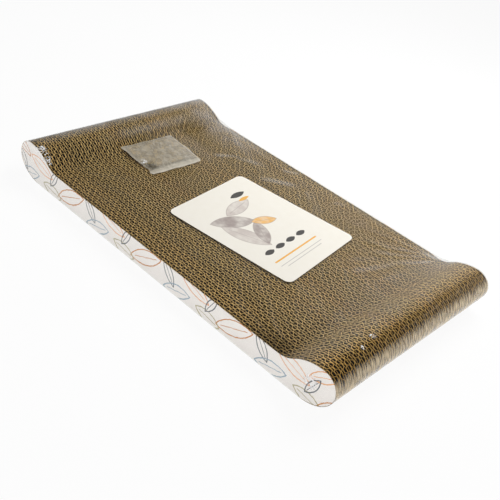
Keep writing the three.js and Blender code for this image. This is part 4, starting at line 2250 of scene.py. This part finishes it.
@dataclass
class Studio:
    """Floor, light and camera."""

    eye: tuple[float, float, float] = (0.41581, -0.53094, 0.44752)
    right: tuple[float, float, float] = (0.70313, 0.68819, 0.17890)
    up: tuple[float, float, float] = (-0.50649, 0.30815, 0.80530)
    lens: float = 55.335
    sensor: float = 36.0
    clip: Pair = (0.02, 50.0)
    floor_half: float = 6.0
    floor_colour: Colour = srgb(253, 253, 253)
    floor_white: float = 0.91
    ambient: float = 0.4
    lamps: tuple[Lamp, ...] = (
        Lamp("key", (0.04, 0.51, 0.66), (0.03, 0.0, 0.02), (0.6, 0.6), 5.45),
        Lamp("front", (0.2, -1.4, 0.2), (0.0, -0.12, 0.02), (1.2, 0.3), 7.8),
    )

    def build(self) -> None:
        """Sets up the whole stage."""
        bpy.context.scene.view_settings.view_transform = "Standard"
        self._floor()
        self._world()
        for lamp in self.lamps:
            self._lamp(lamp)
        self._camera()

    def _shown(self, net: NodeNet, rays: Iterable[Rays]) -> Socket:
        """Gives 1 for rays of any of the named kinds.

        Args:
            net: Net of the material or the surroundings.
            rays: The kinds of ray.

        Returns:
            1 for these rays and 0 for others.
        """
        path = net.add("ShaderNodeLightPath")
        total: Value = 0.0
        for ray in rays:
            total = net.math("MAXIMUM", total, path.outputs[ray.value])
        return total

    def _floor(self) -> None:
        """Makes the pale floor, which keeps the part's shadow."""
        shape = bmesh.new()
        bmesh.ops.create_grid(shape, x_segments=8, y_segments=8, size=self.floor_half)
        mesh = bpy.data.meshes.new("floor")
        shape.to_mesh(mesh)
        shape.free()
        material, net = new_material("floor_white")
        mesh.materials.append(material)
        matte = net.add("ShaderNodeBsdfDiffuse", {"Color": self.floor_colour})
        light = net.add("ShaderNodeEmission", {"Color": (1, 1, 1, 1), "Strength": 1.0})
        share = net.math("MULTIPLY", self._shown(net, Rays), self.floor_white)
        net.show(net.blend(share, matte, light))
        floor = bpy.data.objects.new("floor", mesh)
        bpy.context.scene.collection.objects.link(floor)

    def _world(self) -> None:
        """Makes the surroundings: white to the eye, with one bright wall at the back to be mirrored."""
        world = bpy.data.worlds.new("studio")
        bpy.context.scene.world = world
        world.use_nodes = True
        world.node_tree.nodes.clear()
        net = NodeNet(world.node_tree)
        x, y, z = net.separate(net.add("ShaderNodeTexCoord").outputs["Generated"])
        aside = net.math("DIVIDE", net.math("MULTIPLY", x, -1.0), net.math("MAXIMUM", y, 0.001))
        bright = net.step(z, low=0.5, high=0.68, start=0.75, end=0.0)
        left = net.step(aside, low=0.2, high=1.25, start=1.0, end=0.0)
        right = net.step(aside, low=-0.75, high=-0.25)
        wall = net.math("MULTIPLY", net.math("MULTIPLY", bright, left), right)
        low = net.step(z, low=0.36, high=0.48, start=0.36, end=0.16)
        seen = net.math("MULTIPLY_ADD", wall, net.math("GREATER_THAN", y, 0.0), low)
        eye = self._shown(net, (Rays.CAMERA, Rays.THROUGH))
        glossy = self._shown(net, (Rays.GLOSSY,))
        plain = net.math("MULTIPLY", net.math("SUBTRACT", 1.0, glossy), self.ambient)
        light = net.math("MULTIPLY_ADD", glossy, seen, plain)
        strength = net.math("MAXIMUM", eye, light)
        back = net.add("ShaderNodeBackground", {"Color": (1, 1, 1, 1), "Strength": strength})
        output = net.add("ShaderNodeOutputWorld")
        net.feed(output.inputs["Surface"], back.outputs[0])

    def _lamp(self, lamp: Lamp) -> None:
        """Hangs one lamp and aims it.

        Args:
            lamp: The lamp.
        """
        data = bpy.data.lights.new(lamp.name, "AREA")
        data.shape, data.energy = "RECTANGLE", lamp.power
        data.size, data.size_y = lamp.size
        made = bpy.data.objects.new(lamp.name, data)
        bpy.context.scene.collection.objects.link(made)
        made.visible_glossy = False
        made.location = lamp.place
        made.rotation_euler = (Vector(lamp.aim) - Vector(lamp.place)).to_track_quat("-Z", "Y").to_euler()

    def _camera(self) -> None:
        """Sets the camera at the photograph's angle."""
        data = bpy.data.cameras.new("camera")
        data.lens, data.sensor_width, data.sensor_fit = self.lens, self.sensor, "HORIZONTAL"
        data.clip_start, data.clip_end = self.clip
        made = bpy.data.objects.new("camera", data)
        bpy.context.scene.collection.objects.link(made)
        right, up = Vector(self.right).normalized(), Vector(self.up)
        back = right.cross(up).normalized()
        axes = Matrix((right, back.cross(right), back)).transposed()
        made.matrix_world = Matrix.Translation(self.eye) @ axes.to_4x4()
        bpy.context.scene.camera = made


def main() -> None:
    """Builds the stage and every sub-assembly in order."""
    logging.basicConfig(level=logging.INFO, format="%(name)s %(message)s")
    outline = SideOutline()
    effects = SharedEffects()
    Studio().build()
    BoardBlock(outline, KraftFinish().material(effects)).build()
    SidePapers(outline, effects).build()
    CatnipSachet(outline, effects).build()
    ShrinkFilm(outline, FilmFinish("shrink_film_clear").material(effects)).build()
    PaperLabel(effects).build()


if __name__ == "__main__":
    main()
